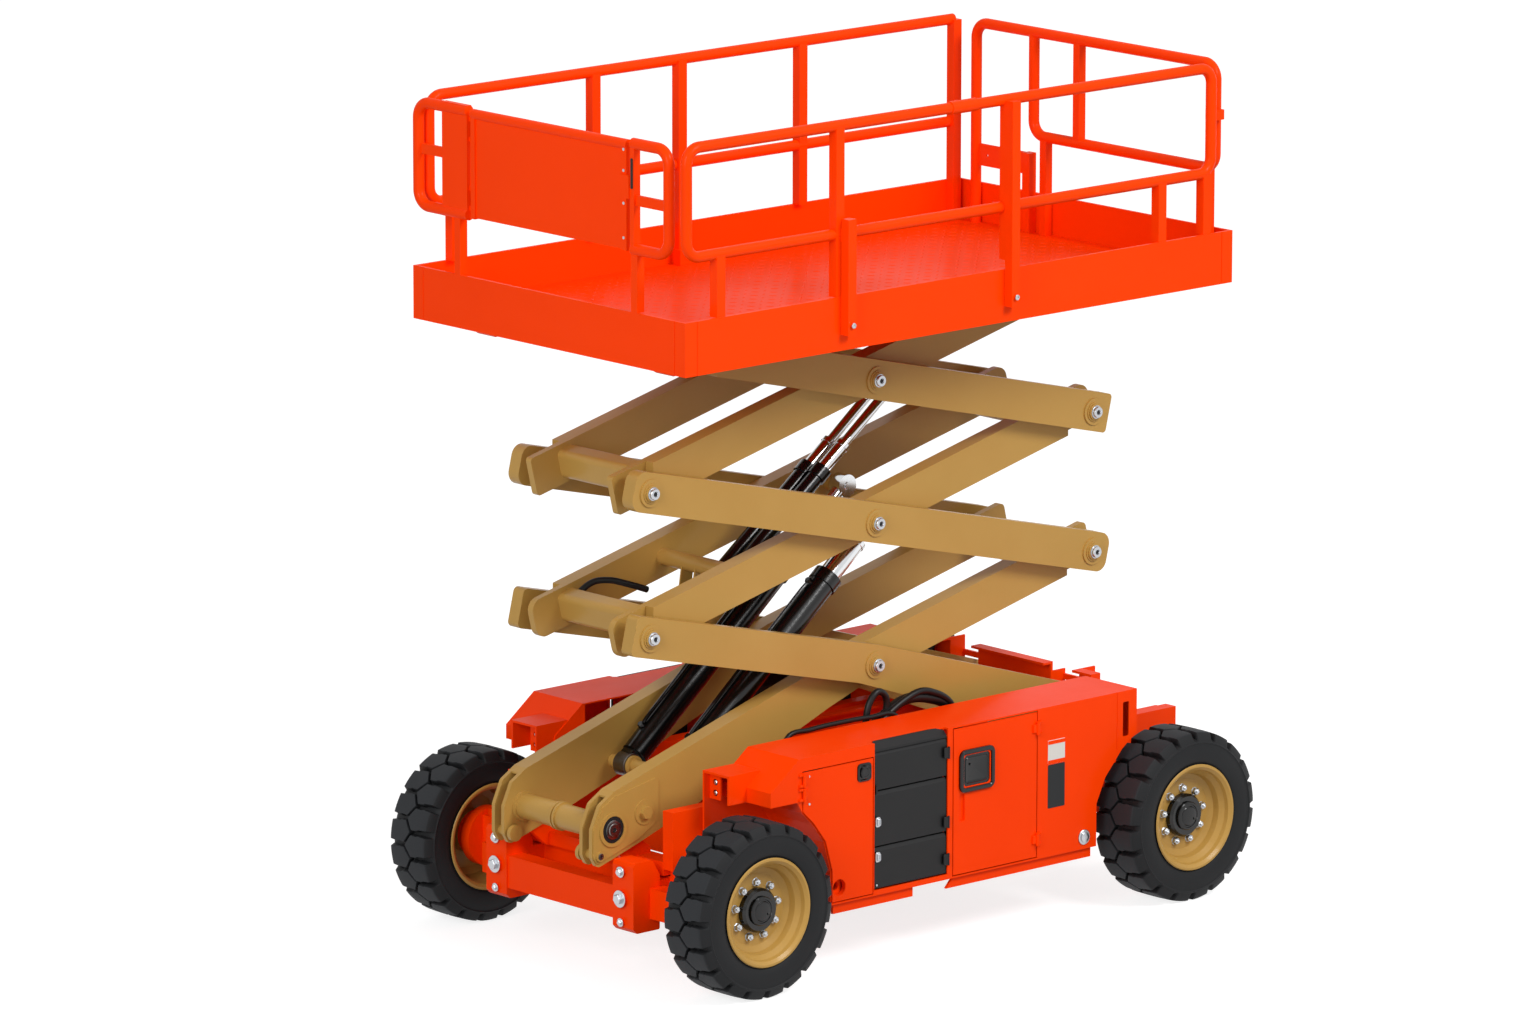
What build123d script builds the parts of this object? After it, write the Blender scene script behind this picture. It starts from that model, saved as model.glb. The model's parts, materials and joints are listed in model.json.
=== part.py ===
from build123d import *
from math import atan2, cos, degrees, hypot, radians, sin
import os

os.makedirs("parts", exist_ok=True)

# All sizes in mm. +X runs from the gate end (steered wheels) to the rear end, -Y is the side with
# the camera, +Z is up, and the origin is on the ground under the middle of the machine.

# ---- wheels -------------------------------------------------------------------------------------
wheel_x = 1143.0          # half the wheelbase
tyre_radius = 345.0       # out to the lugs' tips
tyre_width = 245.0
tyre_face_y = 935.0       # outer face of every tyre
rim_radius = 212.0        # flange, as it shows in the side view
nut_circle, nut_count, nut_r = 109.0, 9, 10.5
kingpin_y = 650.0
hub_face = 800.0          # where the wheel seats on its hub
hub_r, drum_r = 92.0, 120.0
spindle_r, spindle_end = 59.4, 826.0
kingpin_r = 25.0
clevis_in, clevis_out = 100.0, 128.0  # plates of the knuckle's clevis, above and below the wheel's centre

# ---- platform -----------------------------------------------------------------------------------
deck_half_x, deck_half_y = 1450.0, 795.0
panel_low, panel_high = 2454.0, 2664.0
deck_top, deck_sheet = 2506.0, 6.0
deck_rim = 2503.0         # the sheet round the raised walking plate, where the inner posts stand
walk_x, walk_y = (-1395.0, 1385.0), (-745.0, 715.0)
board = 12.0              # toe board plate
rail_mid_z, rail_top_z = 2905.0, 3325.0
rail_r = 22.0             # 44 mm tube
post = 42.0               # square post

# ---- scissor stack ------------------------------------------------------------------------------
stage = 570.0             # rise from one pair of pins to the next, as parked
half_span = 1177.5        # centre pin to end pin, along X, as parked
centre_x = -67.0
centre_z = [1057.0, 1057.0 + stage, 1057.0 + 2 * stage]
arm_depth = 158.0
arm_over = 86.0           # arm beyond its end pin
inner_y = (222.0, 296.0)  # inner arms, near and far of the middle
outer_y = (304.0, 364.0)  # outer arms
foot = (1318.0, 460.0)    # centre pin to the bottom pins, across and down
head = (764.0, 253.0)     # centre pin to the top pins, across and up
pin_r = 24.0
pin_gap = 0.1
fork_wall = 18.0          # plates of the fork at the fixed foot
lug_y = (246.0, 272.0)    # chassis lug in that fork
foot_pin_r = 30.0
head_pin_r = 18.0
foot_roller_r, head_roller_r = 49.7, 40.7
track_half, head_track_half = 50.0, 41.0
fixed_foot = (centre_x - foot[0], centre_z[0] - foot[1])
sliding_foot = (centre_x + foot[0], centre_z[0] - foot[1])
fixed_head = (centre_x - head[0], centre_z[2] + head[1])
sliding_head = (centre_x + head[0], centre_z[2] + head[1])
tilt = atan2(stage / 2, half_span)

# ---- lift cylinders -----------------------------------------------------------------------------
low_eye = (-925.0, 705.0)     # on the first inner arms
low_top = (215.0, 1660.0)     # beside the second inner arms
low_y, low_eye_w, low_pin = 138.0, 60.0, 26.0
up_eye = (-690.0, 1303.0)     # under the second inner arms
up_top = (330.0, 2086.0)      # under the third inner arms
up_y, up_eye_w, up_pin = 39.0, 56.0, 18.0
low_barrel_r, up_barrel_r = 54.0, 34.0
lug_gap = 0.3                 # side play of an eye in its lugs, and of a collar
bore_gap = 0.4                # between one stage and the next

# ---- chassis ------------------------------------------------------------------------------------
side_y = (486.0, 780.0)
body_top = 875.0
body_low = 267.0
skirt_low = 226.0
wall = 6.0


def box(x0, x1, y0, y1, z0, z1):
    return Pos((x0 + x1) / 2, (y0 + y1) / 2, (z0 + z1) / 2) * Box(abs(x1 - x0), abs(y1 - y0), abs(z1 - z0))


def rod_y(x, z, r, y0, y1):
    return Pos(x, (y0 + y1) / 2, z) * Rot(90, 0, 0) * Cylinder(r, abs(y1 - y0))


def rod_x(y, z, r, x0, x1):
    return Pos((x0 + x1) / 2, y, z) * Rot(0, 90, 0) * Cylinder(r, abs(x1 - x0))


def rod_z(x, y, r, z0, z1):
    return Pos(x, y, (z0 + z1) / 2) * Cylinder(r, abs(z1 - z0))


def slab_y(points, y0, y1, r=0.0):
    """A plate cut to an outline in XZ, from y0 to y1, with its corners rounded by r."""
    pts = [(x, y0, z) for x, z in points]
    line = FilletPolyline(*pts, radius=r, close=True) if r else Polyline(*pts, close=True)
    return extrude(make_face(line), amount=abs(y1 - y0), dir=(0, 1 if y1 > y0 else -1, 0))


def slab_z(points, z0, z1, r=0.0):
    pts = [(x, y, z0) for x, y in points]
    line = FilletPolyline(*pts, radius=r, close=True) if r else Polyline(*pts, close=True)
    return extrude(make_face(line), amount=z1 - z0, dir=(0, 0, 1))


def slab_x(points, x0, x1, r=0.0):
    pts = [(x0, y, z) for y, z in points]
    line = FilletPolyline(*pts, radius=r, close=True) if r else Polyline(*pts, close=True)
    return extrude(make_face(line), amount=x1 - x0, dir=(1, 0, 0))


def tube(points, bend, r=rail_r, close=False):
    """A round rail bent along a line of corners. Its inside is closed in, so it is left solid."""
    path = FilletPolyline(*points, radius=bend, close=close) if bend else Polyline(*points, close=close)
    path = path.wire() if hasattr(path, "wire") else path
    start = Plane(origin=path @ 0, z_dir=path % 0)
    return sweep(start * Circle(r), path=path)


def turned_y(profile, x, z):
    """A solid of revolution about a line along Y through x, z. The profile is (radius, y) pairs."""
    face = make_face(Polyline(*[(x + r, y, z) for r, y in profile], close=True))
    return revolve(face, axis=Axis((x, 0, z), (0, 1, 0)))


def far(shape):
    return mirror(shape, about=Plane.XZ)


def join(first, *others):
    for other in others:
        first = first + other
    return first


def pair(shape):
    """A far-side solid and its near-side mirror image, which don't touch."""
    return Compound(children=[*shape.solids(), *far(shape).solids()])


def save(name, shape):
    solids = shape.solids()
    export_step(solids[0] if len(solids) == 1 else Compound(children=list(solids)), f"parts/{name}.step")
    print(name, len(solids), round(sum(s.volume for s in solids) / 1e6, 2), "dm3")


# ---- arms ---------------------------------------------------------------------------------------
def along(a, b, s, n):
    """The point s from a towards b, and n to the left of that line, in XZ."""
    d = hypot(b[0] - a[0], b[1] - a[1])
    ux, uz = (b[0] - a[0]) / d, (b[1] - a[1]) / d
    return a[0] + ux * s - uz * n, a[1] + uz * s + ux * n


left_pin = [(centre_x - half_span, centre_z[i] + stage / 2) for i in range(2)]
right_pin = [(centre_x + half_span, centre_z[i] + stage / 2) for i in range(2)]
left_low = [(centre_x - half_span, centre_z[i] - stage / 2) for i in range(3)]
right_low = [(centre_x + half_span, centre_z[i] - stage / 2) for i in range(3)]
half = arm_depth / 2


def straight_outline(a, b):
    length = hypot(b[0] - a[0], b[1] - a[1])
    return [along(a, b, -arm_over, -half), along(a, b, length + arm_over, -half),
            along(a, b, length + arm_over, half), along(a, b, -arm_over, half)]


def flip_x(points):
    return [(2 * centre_x - x, z) for x, z in reversed(points)]


# The lowest inner arm is deeper towards its fixed foot, and its end plates drop to a small pin.
rise_a = [left_low[0], right_pin[0]]
length_a = hypot(2 * half_span, stage)
inner_1_outline = [
    along(rise_a[0], rise_a[1], length_a + arm_over, -half),
    along(rise_a[0], rise_a[1], length_a + arm_over, half),
    (-100.0, 1130.0), (-1372.0, 745.0), (-1446.0, 700.0), (-1487.0, 610.0), (-1488.0, 500.0),
    (-1462.0, 455.0), (-1430.0, 464.0), (-1245.0, 522.0), (-934.0, 632.0), (-250.0, 903.0), (20.0, 997.0),
]
side_bolt, toe_pin = (-1222.0, 641.0), (-1452.0, 502.0)
outer_1_outline = flip_x([
    along(rise_a[0], rise_a[1], length_a + arm_over, -half),
    along(rise_a[0], rise_a[1], length_a + arm_over, half),
    (-100.0, 1130.0), (-1330.0, 757.0), (-1424.0, 700.0), (-1460.0, 630.0), (-1460.0, 560.0),
    (-1424.0, 522.0), (-1245.0, 522.0), (-934.0, 632.0), (-250.0, 903.0), (20.0, 997.0),
])
# The topmost arms stop at their head pins, which sit high in the arm. Their ends are kept short of the
# deck's underside through the whole lift.
head_end, head_crown = 62.0, 32.0
third_a, third_b = left_low[2], (centre_x + half_span, centre_z[2] + stage / 2)
head_run = hypot(head[0], head[1]) + half_span / cos(tilt)
inner_3_outline = [
    along(third_a, third_b, -arm_over, -half),
    (sliding_head[0] + head_end + 20, along(third_a, third_b, head_run, -half)[1] + 14),
    (sliding_head[0] + head_end, sliding_head[1] - 4), (sliding_head[0] + 28, sliding_head[1] + head_crown),
    (sliding_head[0] - 60, sliding_head[1] + head_crown), along(third_a, third_b, head_run - 150, half),
    along(third_a, third_b, -arm_over, half),
]
outer_3_outline = flip_x(inner_3_outline)


def centre_pin(p):
    """Pin through the outer arm, with its washer and bolt head outside."""
    y0, y1 = inner_y[1], outer_y[1]
    return join(rod_y(p[0], p[1], pin_r, y0, y1 + 14), rod_y(p[0], p[1], 46, y0, y0 + 6),
                rod_y(p[0], p[1], 33, y1 + 10.5, y1 + 16), rod_y(p[0], p[1], 17, y1 + 14, y1 + 26))


def forked_end(arm, p, side):
    """Cuts the arm down to one inner ear round an end pin and adds the long pin to the outer arm."""
    y0, y1 = inner_y
    ear = y0 + 30
    s = 1 if side == "right" else -1
    x0, x1 = p[0] - s * 74, p[0] + s * 140
    arm = arm - box(min(x0, x1), max(x0, x1), ear, y1 + 1, p[1] - 150, p[1] + 150)
    out = outer_y[1]
    pin = join(rod_y(*p, pin_r, ear - 5, out + 14), rod_y(*p, 38, ear, outer_y[0] - 6),
               rod_y(*p, 33, out + 10.5, out + 16), rod_y(*p, 17, out + 14, out + 26))
    return arm + pin


def cross_box(p, towards, reach, deep=118.0, wide=96.0):
    """Box tube welded across the two inner arms, beside an end pin."""
    c = along(p, towards, reach, 0)
    a = degrees(atan2(towards[1] - p[1], towards[0] - p[0]))
    b = Box(wide, 2 * inner_y[0], deep)
    b = fillet(b.edges().filter_by(Axis.Y), 26)
    return Pos(c[0], 0, c[1]) * Rot(0, -a, 0) * b


def inner_side(level):
    """The far-side inner arm with its pins. The near one is its mirror image."""
    c = (centre_x, centre_z[level])
    y0, y1 = inner_y
    if level == 0:
        f = fixed_foot
        arm = slab_y(inner_1_outline, y0, y1, 22.0)
        # the fork that takes the chassis lug: open below and in front, closed by the top flange
        arm = arm - slab_y([(-1560, 380), (-1150, 380), (-1150, 780), (-1372, 713), (-1400, 720), (-1400, 800),
                            (-1560, 800)], y0 + fork_wall, y1 - fork_wall)
        arm = join(arm, rod_y(*f, foot_pin_r, y0 + 4, y1), rod_y(*f, 42, y0 + fork_wall, lug_y[0] - lug_gap),
                   rod_y(*f, 42, lug_y[1] + lug_gap, y1 - fork_wall))
        # doubler plate, with the foot pin's recessed bolt and a hexagon-headed bolt
        arm = arm + slab_y([(-1150, 770), (-1372, 726), (-1436, 690), (-1482, 606), (-1484, 500), (-1464, 470),
                            (-1250, 540), (-1150, 600)], y1, y1 + 5, 18.0)
        arm = arm + (rod_y(*f, 68, y1 + 5, y1 + 10) - rod_y(*f, 54, y1 + 4, y1 + 11)) + rod_y(*f, 20, y1 + 5, y1 + 9)
        arm = arm + rod_y(*side_bolt, 50, y1 + 5, y1 + 9)
        hexagon = extrude(RegularPolygon(26, 6), amount=17)
        arm = arm + Pos(side_bolt[0], y1 + 9, side_bolt[1]) * Rot(-90, 0, 0) * hexagon
        arm = join(arm, rod_y(*toe_pin, 20, y0 - 26, y1 + 12), rod_y(*toe_pin, 32, y0 - 30, y0 - 12))
        arm = forked_end(arm, right_pin[0], "right")
    elif level == 1:
        arm = slab_y(straight_outline(left_low[1], right_pin[1]), y0, y1, 48.0)
        arm = forked_end(arm, left_low[1], "left")
        arm = forked_end(arm, right_pin[1], "right")
        # the boss that the lower cylinder's rod eye stands beside
        arm = arm + rod_y(low_top[0], low_top[1], 32, low_y + low_eye_w / 2 + 4 + lug_gap, y0 + 1)
    else:
        arm = slab_y(inner_3_outline, y0, y1, 16.0)
        arm = forked_end(arm, left_low[2], "left")
        # the roller's pin at the head, towards the middle, where the platform's track is
        arm = arm + rod_y(sliding_head[0], sliding_head[1], head_pin_r, 188, y0 + 1)
    return arm + centre_pin(c)


def cylinder_lugs(tube_at, eye, stations, pin):
    """Lugs that hang from a cross tube down to a cylinder eye, and the pin through them."""
    down = 1 if eye[1] < tube_at[1] else -1
    lugs = rod_y(tube_at[0], tube_at[1], 34, -inner_y[0], inner_y[0])
    for y0, y1 in stations:
        lugs = lugs + slab_y([(tube_at[0] - 30, tube_at[1] + 10 * down), (tube_at[0] + 30, tube_at[1] + 10 * down),
                              (eye[0] + 32, eye[1] - 12 * down), (eye[0] + 14, eye[1] - 32 * down),
                              (eye[0] - 14, eye[1] - 32 * down), (eye[0] - 32, eye[1] - 12 * down)], y0, y1, 8.0)
    if pin:
        lugs = lugs + rod_y(eye[0], eye[1], pin, stations[0][0], stations[-1][1])
    return lugs


def lug_stations(y, barrel_r):
    """Outer, middle and outer lug beside a pair of cylinders at -y and y."""
    edge = y + barrel_r + 1.5
    return (-edge - 7, -edge), (-4, 4), (edge, edge + 7)


def inner_cross(level):
    """What ties the two inner arms of one pair together, face to face with them."""
    y = inner_y[0]
    if level == 0:
        f = fixed_foot
        # two-piece tube at the fixed foot, flanged in the middle
        foot_tube = join(rod_y(*f, 50, -y, y), rod_y(*f, 60, -y, -y + 12), rod_y(*f, 60, y - 12, y),
                         rod_y(*f, 57, -14, -4), rod_y(*f, 57, 4, 14))
        # shaft of the lower cylinders, with a collar on each side of each eye
        shaft = rod_y(*low_eye, low_pin, -y, y)
        for s in (-1, 1):
            for side in (-1, 1):
                face = s * (low_y + side * (low_eye_w / 2 + lug_gap))
                shaft = shaft + rod_y(*low_eye, 40, *sorted((face, face + s * side * 16)))
        return [foot_tube, shaft, cross_box(right_pin[0], left_low[0], 96)]
    if level == 1:
        hang = (up_eye[0] + 30, up_eye[1] + 181)
        return [cross_box(left_low[1], right_pin[1], 96), cross_box(right_pin[1], left_low[1], 96),
                cylinder_lugs(hang, up_eye, lug_stations(up_y, up_barrel_r), up_pin)]
    hang = (up_top[0] + 20, up_top[1] + 154)
    return [cross_box(left_low[2], third_b, 96), cylinder_lugs(hang, up_top, lug_stations(up_y, up_barrel_r)[::2], 0)]


def outer_arm(level):
    """The far-side outer arm. Its bores run on the inner frames' pins."""
    c = (centre_x, centre_z[level])
    y0, y1 = outer_y
    if level == 0:
        arm = slab_y(outer_1_outline, y0, y1, 22.0)
        holes = [c, left_pin[0]]
        arm = arm + rod_y(sliding_foot[0], sliding_foot[1], 20, y1 - 1, y1 + 44)
        arm = arm + rod_y(sliding_foot[0], sliding_foot[1], 46, y1, y1 + 3)
    elif level == 1:
        arm = slab_y(straight_outline(left_pin[1], right_low[1]), y0, y1, 48.0)
        holes = [c, left_pin[1], right_low[1]]
    else:
        arm = slab_y(outer_3_outline, y0, y1, 16.0)
        holes = [c, right_low[2], fixed_head]
    for p in holes:
        if p is fixed_head:
            continue
        arm = arm + rod_y(p[0], p[1], 54, y1 - 1, y1 + 6)
        arm = arm + rod_y(p[0], p[1], 40, y1 + 5, y1 + 10)
    for p in holes:
        r = 20.0 if p is fixed_head else pin_r
        arm = arm - rod_y(p[0], p[1], r + pin_gap, y0 - 10, y1 + 30)
    return arm


# ---- lift cylinders -----------------------------------------------------------------------------
def in_line(a, b, shape):
    """Puts a shape made along +Z from the origin on the line from a to b in XZ."""
    ang = degrees(atan2(b[0] - a[0], b[1] - a[1]))
    return Pos(a[0], 0, a[1]) * Rot(0, ang, 0) * shape


def tele(a, b, y, barrel_r, stage_r, rod_r, eye_r, take, barrel_len, eye_w, pin_hole):
    """Barrels, middle stages and rods of a pair of telescopic cylinders, as parked. Each stage can
    still retract by take. They are made upright, with the barrel's eye at the origin."""
    length = hypot(b[0] - a[0], b[1] - a[1])
    gland, cap = 50, 20       # heads of the barrel and of the middle stage
    barrel = rod_z(0, 0, barrel_r, gland, barrel_len) + rod_z(0, 0, barrel_r + 6, barrel_len - gland, barrel_len)
    barrel = barrel + rod_y(0, 0, eye_r, -eye_w / 2, eye_w / 2) + Pos(0, 0, 40) * Box(1.8 * eye_r, eye_w, 60)
    barrel = barrel - rod_z(0, 0, stage_r + bore_gap, 75, barrel_len + 1)
    barrel = barrel - rod_y(0, 0, pin_hole + pin_gap, -eye_w, eye_w)
    low = 80 + take
    stage_top = low + barrel_len - 60
    mid = rod_z(0, 0, stage_r, low, stage_top) + rod_z(0, 0, stage_r + 3, stage_top - cap, stage_top)
    mid = mid - rod_z(0, 0, rod_r + bore_gap, low + 20, stage_top + 1)
    rod = rod_z(0, 0, rod_r, low + 26 + take, length - eye_r + 8)
    rod = rod + rod_y(0, length, eye_r, -eye_w / 2, eye_w / 2) + rod_y(0, length, 16, -eye_w / 2 - 4, eye_w / 2 + 4)
    return [pair(Pos(0, y, 0) * in_line(a, b, shape)) for shape in (barrel, mid, rod)]


# ---- chassis ------------------------------------------------------------------------------------
track_z = sliding_foot[1]
axle_top = 405.0
rail_y = (428.0, side_y[0])
frame_x = (-1240.0, 1466.0)


def frame_rail():
    """The far-side chassis rail, with the track of the sliding foot and the lug of the fixed foot."""
    y0, y1 = rail_y
    rail = box(*frame_x, y0, y1, 440, 672)
    for z0, z1 in ((track_half, track_half + 10), (-track_half - 10, -track_half)):
        rail = rail + box(-250, frame_x[1], 372, y0 + 1, track_z + z0, track_z + z1)
    rail = rail + box(-250, frame_x[1], y0 - 6, y0 + 1, track_z - track_half - 10, track_z + track_half + 10)
    rail = rail + box(frame_x[1] - 10, frame_x[1], 372, y0 + 1, track_z - track_half - 10, track_z + track_half + 10)
    for x in (-wheel_x, wheel_x):
        rail = rail + box(x - 60, x + 60, y0 + 2, y1 - 2, axle_top, 441)
    return rail


def front_cross():
    """Front cross box with the two lugs that stand in the forks of the fixed feet."""
    f = fixed_foot
    lug = slab_y([(f[0] - 42, f[1] - 8), (f[0] - 30, f[1] + 34), (f[0] + 26, f[1] + 36), (f[0] + 70, f[1] - 4),
                  (-1165, 490), (-1165, 412), (-1250, 412), (f[0] - 20, f[1] - 44)], *lug_y, 16.0)
    lug = lug - rod_y(f[0], f[1], foot_pin_r + pin_gap, lug_y[0] - 5, lug_y[1] + 5)
    return join(box(-1236, -1150, -rail_y[0], rail_y[0], 412, 466), lug, far(lug))


def frame_crosses():
    """The other members between the rails: two mid boxes with the floor pan, and the rear box."""
    y = rail_y[0]
    pan = box(-700, 700, -y, y, 300, 306)
    for x in (-700, 692):
        pan = pan + box(x, x + 8, -y, y, 300, 500)
    for x in (-560, 560):
        pan = pan + box(x - 40, x + 40, -y, y, 305, 440)
    return [pan, box(1180, 1260, -y, y, 412, 470)]


def end_wall():
    """Rear wall between the side boxes. On each side it steps back round a pocket for the lowered arms,
    whose floor is a low bar above the outer arm's foot."""
    y, x0, x1, back = side_y[0], 1030, 1042, 1112
    pocket_in, pocket_out = inner_y[0] - 10, outer_y[1] + 12
    low, flange_x = 780, x0 - 40
    middle = box(x0, x1, -pocket_in, pocket_in, low, body_top)
    middle = middle + box(flange_x, x1, -pocket_in, pocket_in, body_top - 10, body_top)
    side = box(x0, x1, pocket_out, y, low - 40, body_top) + box(flange_x, x1, pocket_out, y, body_top - 10, body_top)
    side = side + box(flange_x, x1, y - 12, y, 672, body_top)
    side = side + box(x0, back, pocket_in - 8, pocket_in, low, 836)
    side = side + box(x0, back, pocket_out, pocket_out + 8, low, body_top)
    side = side + box(back - 12, back, pocket_in - 8, pocket_out + 8, 793, 816)
    return join(middle, side, far(side))


# The front door and the wheel arch share this edge, from the skirt up to the hinge.
arch = [(-680, 200), (-680, 402), (-715, 524), (-776, 605), (-834, 660)]
gap = 5.0                 # round a door
side_outline = [(-998, 763), (-852, body_top), (960, body_top), (960, 700), (880, 640), (790, 540), (742, 440),
                (742, body_low), (-680, body_low), *arch[1:], (-860, 705), (-998, 705)]
front_bay = [(-834, 824), (-459, 824), (-459, 273), (-680, 273), *arch[1:]]
rear_bay = [(-40, 869), (418, 869), (418, 273), (-40, 273)]
vent_x = (-450.0, -71.0)
tie_down, tie_down_r = (-640.0, 332.0), 17.0
front_hinge_x, rear_hinge_x = -829.0, 413.0
front_hinges, rear_hinges = (790.0, 733.0), (800.0, 350.0)
hinge_half = 16.0         # half of a door's own hinge barrel
hinge_y = side_y[1] + 8.3
hinge_r, hinge_pin_r = 8.0, 4.5


def panel(points, d, y0, y1):
    """A plate from y0 to y1 with the given XZ outline, smaller by d all round."""
    plane = Plane(origin=(0, y0, 0), x_dir=(1, 0, 0), z_dir=(0, -1, 0))
    flat = make_face(Polyline(*points, close=True))
    if d:
        flat = offset(flat, amount=-d, kind=Kind.INTERSECTION)
    return extrude(plane * flat, amount=-(y1 - y0))


def side_box():
    """The near side box (y < 0): a hollow welded shell with two door openings and the vent recess."""
    y0, y1 = side_y
    shell = slab_y(side_outline, -y1, -y0)
    cavity = [(-840, 711), (-840, body_top - wall), (954, body_top - wall), (954, 706), (876, 647), (784, 544),
              (736, 442), (736, body_low + wall), (-674, body_low + wall), (-674, 402), (-710, 524), (-771, 605),
              (-829, 662)]
    shell = shell - slab_y(cavity, -y1 + wall, -y0 + wall)
    # the nose falls away forwards and inwards over the steered wheel
    slope = make_face(Polyline((-852, -506, body_top), (-1010, -640, 768), (-1010, -400, 768), (-852, -400, body_top),
                               close=True))
    shell = shell - extrude(slope, amount=200, dir=(0, 0, 1))
    for bay in (front_bay, rear_bay):
        shell = shell - slab_y(bay, -y1 - 1, -y1 + wall + 1)
    # recess of the black vent stack, open on top
    lo, hi = vent_x
    shell = shell - box(lo - 5, hi + 5, -y1 - 1, -y1 + wall + 1, 288, 900)
    shell = shell - slab_z([(lo - 5, -y1 - 1), (hi + 5, -y1 - 1), (hi + 5, -y1 + 22), (hi - 61, -y1 + 40),
                            (lo + 18, -y1 + 40), (lo - 5, -y1 + 22)], 840, 900)
    for x in (lo - lug_gap - 3, hi + lug_gap + 3):
        shell = shell + box(x - 3, x + 3, -y1 + 24, -y0 - 2, body_low + 2, body_top - 2)
    # seam of the end cap, its slot, and the bolt under the blank plate
    shell = shell - box(850, 853, -y1 - 1, -y1 + 2, 640, 880)
    shell = shell - slab_y([(884, 690), (918, 690), (918, 830), (884, 830)], -y1 - 1, -y1 + wall + 1, 6.0)
    shell = shell + rod_y(673, 316, 20, -y1 - 8, -y1 + 1) + rod_y(673, 316, 30, -y1 - 3, -y1 + 1)
    # skirts under the two door bays
    shell = shell + box(-660, -238, -y1 + 14, -y1 + 26, skirt_low, body_low + 2)
    shell = shell + slab_y([(-60, skirt_low), (724, skirt_low), (724, body_low + 2), (-20, body_low + 2)],
                           -y1 + 14, -y1 + 26)
    # tie-down lug behind the round hole of the front door
    x, z = tie_down
    lug = box(-676, x + 30, -y1 + 26, -y1 + 38, body_low + 2, z + 30)
    shell = shell + lug - rod_y(x, z, tie_down_r, -y1 + 20, -y1 + 44)
    # boss box over the wheel, with its channel open forwards and two holes in its end plate
    nose = box(-1090, -850, -641, -490, 705, 820) - box(-1091, -900, -632, -499, 690, 811)
    nose = nose + slab_z([(-1090, -490), (-1090, -499), (-700, -499), (-700, -490)], 560, 706)
    nose = nose + box(-1060, -1052, -560, -499, 706, 811)
    for z in (774, 732):
        nose = nose - rod_x(-530, z, 13, -1070, -1040)
    # fixed halves of the door hinges, with their pins
    for x, sign, heights in ((front_hinge_x, -1, front_hinges), (rear_hinge_x, 1, rear_hinges)):
        for z in heights:
            shell = shell + rod_z(x, -hinge_y, hinge_pin_r, z - hinge_half - 10, z + hinge_half + 10)
            for z0 in (z - hinge_half - 10, z + hinge_half + lug_gap):
                z1 = z0 + 10 - lug_gap
                shell = shell + rod_z(x, -hinge_y, hinge_r, z0, z1) + box(x, x + sign * 24, -hinge_y, -y1 + 1, z0, z1)
    return shell + nose


def vent_stack():
    """Black cover of three stacked panels on the near side, with its sloping top and small catches."""
    y1 = side_y[1]
    lo, hi = vent_x
    body = box(lo, hi, -y1 + 24, -y1 + 38, 294, 860)
    for z0, z1 in ((294, 455), (463, 678), (686, 838)):
        body = body + slab_x([(-y1 + 4, z0), (-y1 + 4, z1 - 14), (-y1 + 12, z1), (-y1 + 25, z1), (-y1 + 25, z0)],
                             lo, hi)
    top = slab_x([(-y1 + 4, 838), (-y1 + 4, 848), (-y1 + 30, body_top), (-y1 + 38, body_top), (-y1 + 38, 838)],
                 lo, hi)
    top = top & slab_z([(lo, -y1), (hi, -y1), (hi, -y1 + 20), (hi - 62, -y1 + 38), (lo + 20, -y1 + 38),
                        (lo, -y1 + 20)], 800, 900)
    body = body + top
    for x0, sides in ((lo + 1, (690, 560, 420)), (hi - 9, (778, 500, 350))):
        for z in sides:
            body = body + box(x0, x0 + 8, -y1 - 2, -y1 + 5, z - 18, z + 18)
    return body


def door(bay, hinge_x, sign, heights):
    """A side door of the near box: skin, stiffener pan and the moving hinge halves."""
    y1 = side_y[1]
    leaf = panel(bay, gap, -y1, -y1 + wall) + panel(bay, gap + 18, -y1 + wall - 1, -y1 + 20)
    for z in heights:
        lo, hi = z - hinge_half, z + hinge_half
        barrel = rod_z(hinge_x, -hinge_y, hinge_r, lo, hi)
        barrel = barrel + box(hinge_x, hinge_x - sign * 24, -hinge_y, -y1 + 1, lo, hi)
        leaf = leaf + barrel - rod_z(hinge_x, -hinge_y, hinge_pin_r + pin_gap, lo - 5, hi + 5)
    return leaf


def front_door():
    y1 = side_y[1]
    d = door(front_bay, front_hinge_x, -1, front_hinges)
    # round latch in its dished plate, and the hole that gives on the tie-down lug
    plate = slab_y([(-545, 737), (-477, 737), (-477, 806), (-545, 806)], -y1 - 2, -y1 + 1, 12.0)
    d = d + plate - rod_y(-511, 771, 27, -y1 - 3, -y1 + 8) + rod_y(-511, 771, 19, -y1 - 1, -y1 + 9)
    return d - rod_y(tie_down[0], tie_down[1], 33, -y1 - 1, -y1 + 30)


def rear_door():
    y1 = side_y[1]
    d = door(rear_bay, rear_hinge_x, 1, rear_hinges)
    # paddle latch in its frame, and a long slot beside it
    frame = slab_y([(-6, 604), (178, 604), (178, 773), (-6, 773)], -y1 - 5, -y1 + 2, 26.0)
    d = d + frame - slab_y([(16, 626), (156, 626), (156, 751), (16, 751)], -y1 - 6, -y1 + 12, 16.0)
    d = d + slab_y([(40, 655), (132, 655), (132, 712), (40, 712)], -y1 + 1, -y1 + 13, 12.0)
    return d - slab_y([(-4, 488), (26, 488), (26, 598), (-4, 598)], -y1 - 1, -y1 + 10, 8.0)


# ---- axles and wheels ---------------------------------------------------------------------------
block_y = 314.0           # inner face of the axle's mounting blocks, clear of the arms' foot pins


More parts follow.
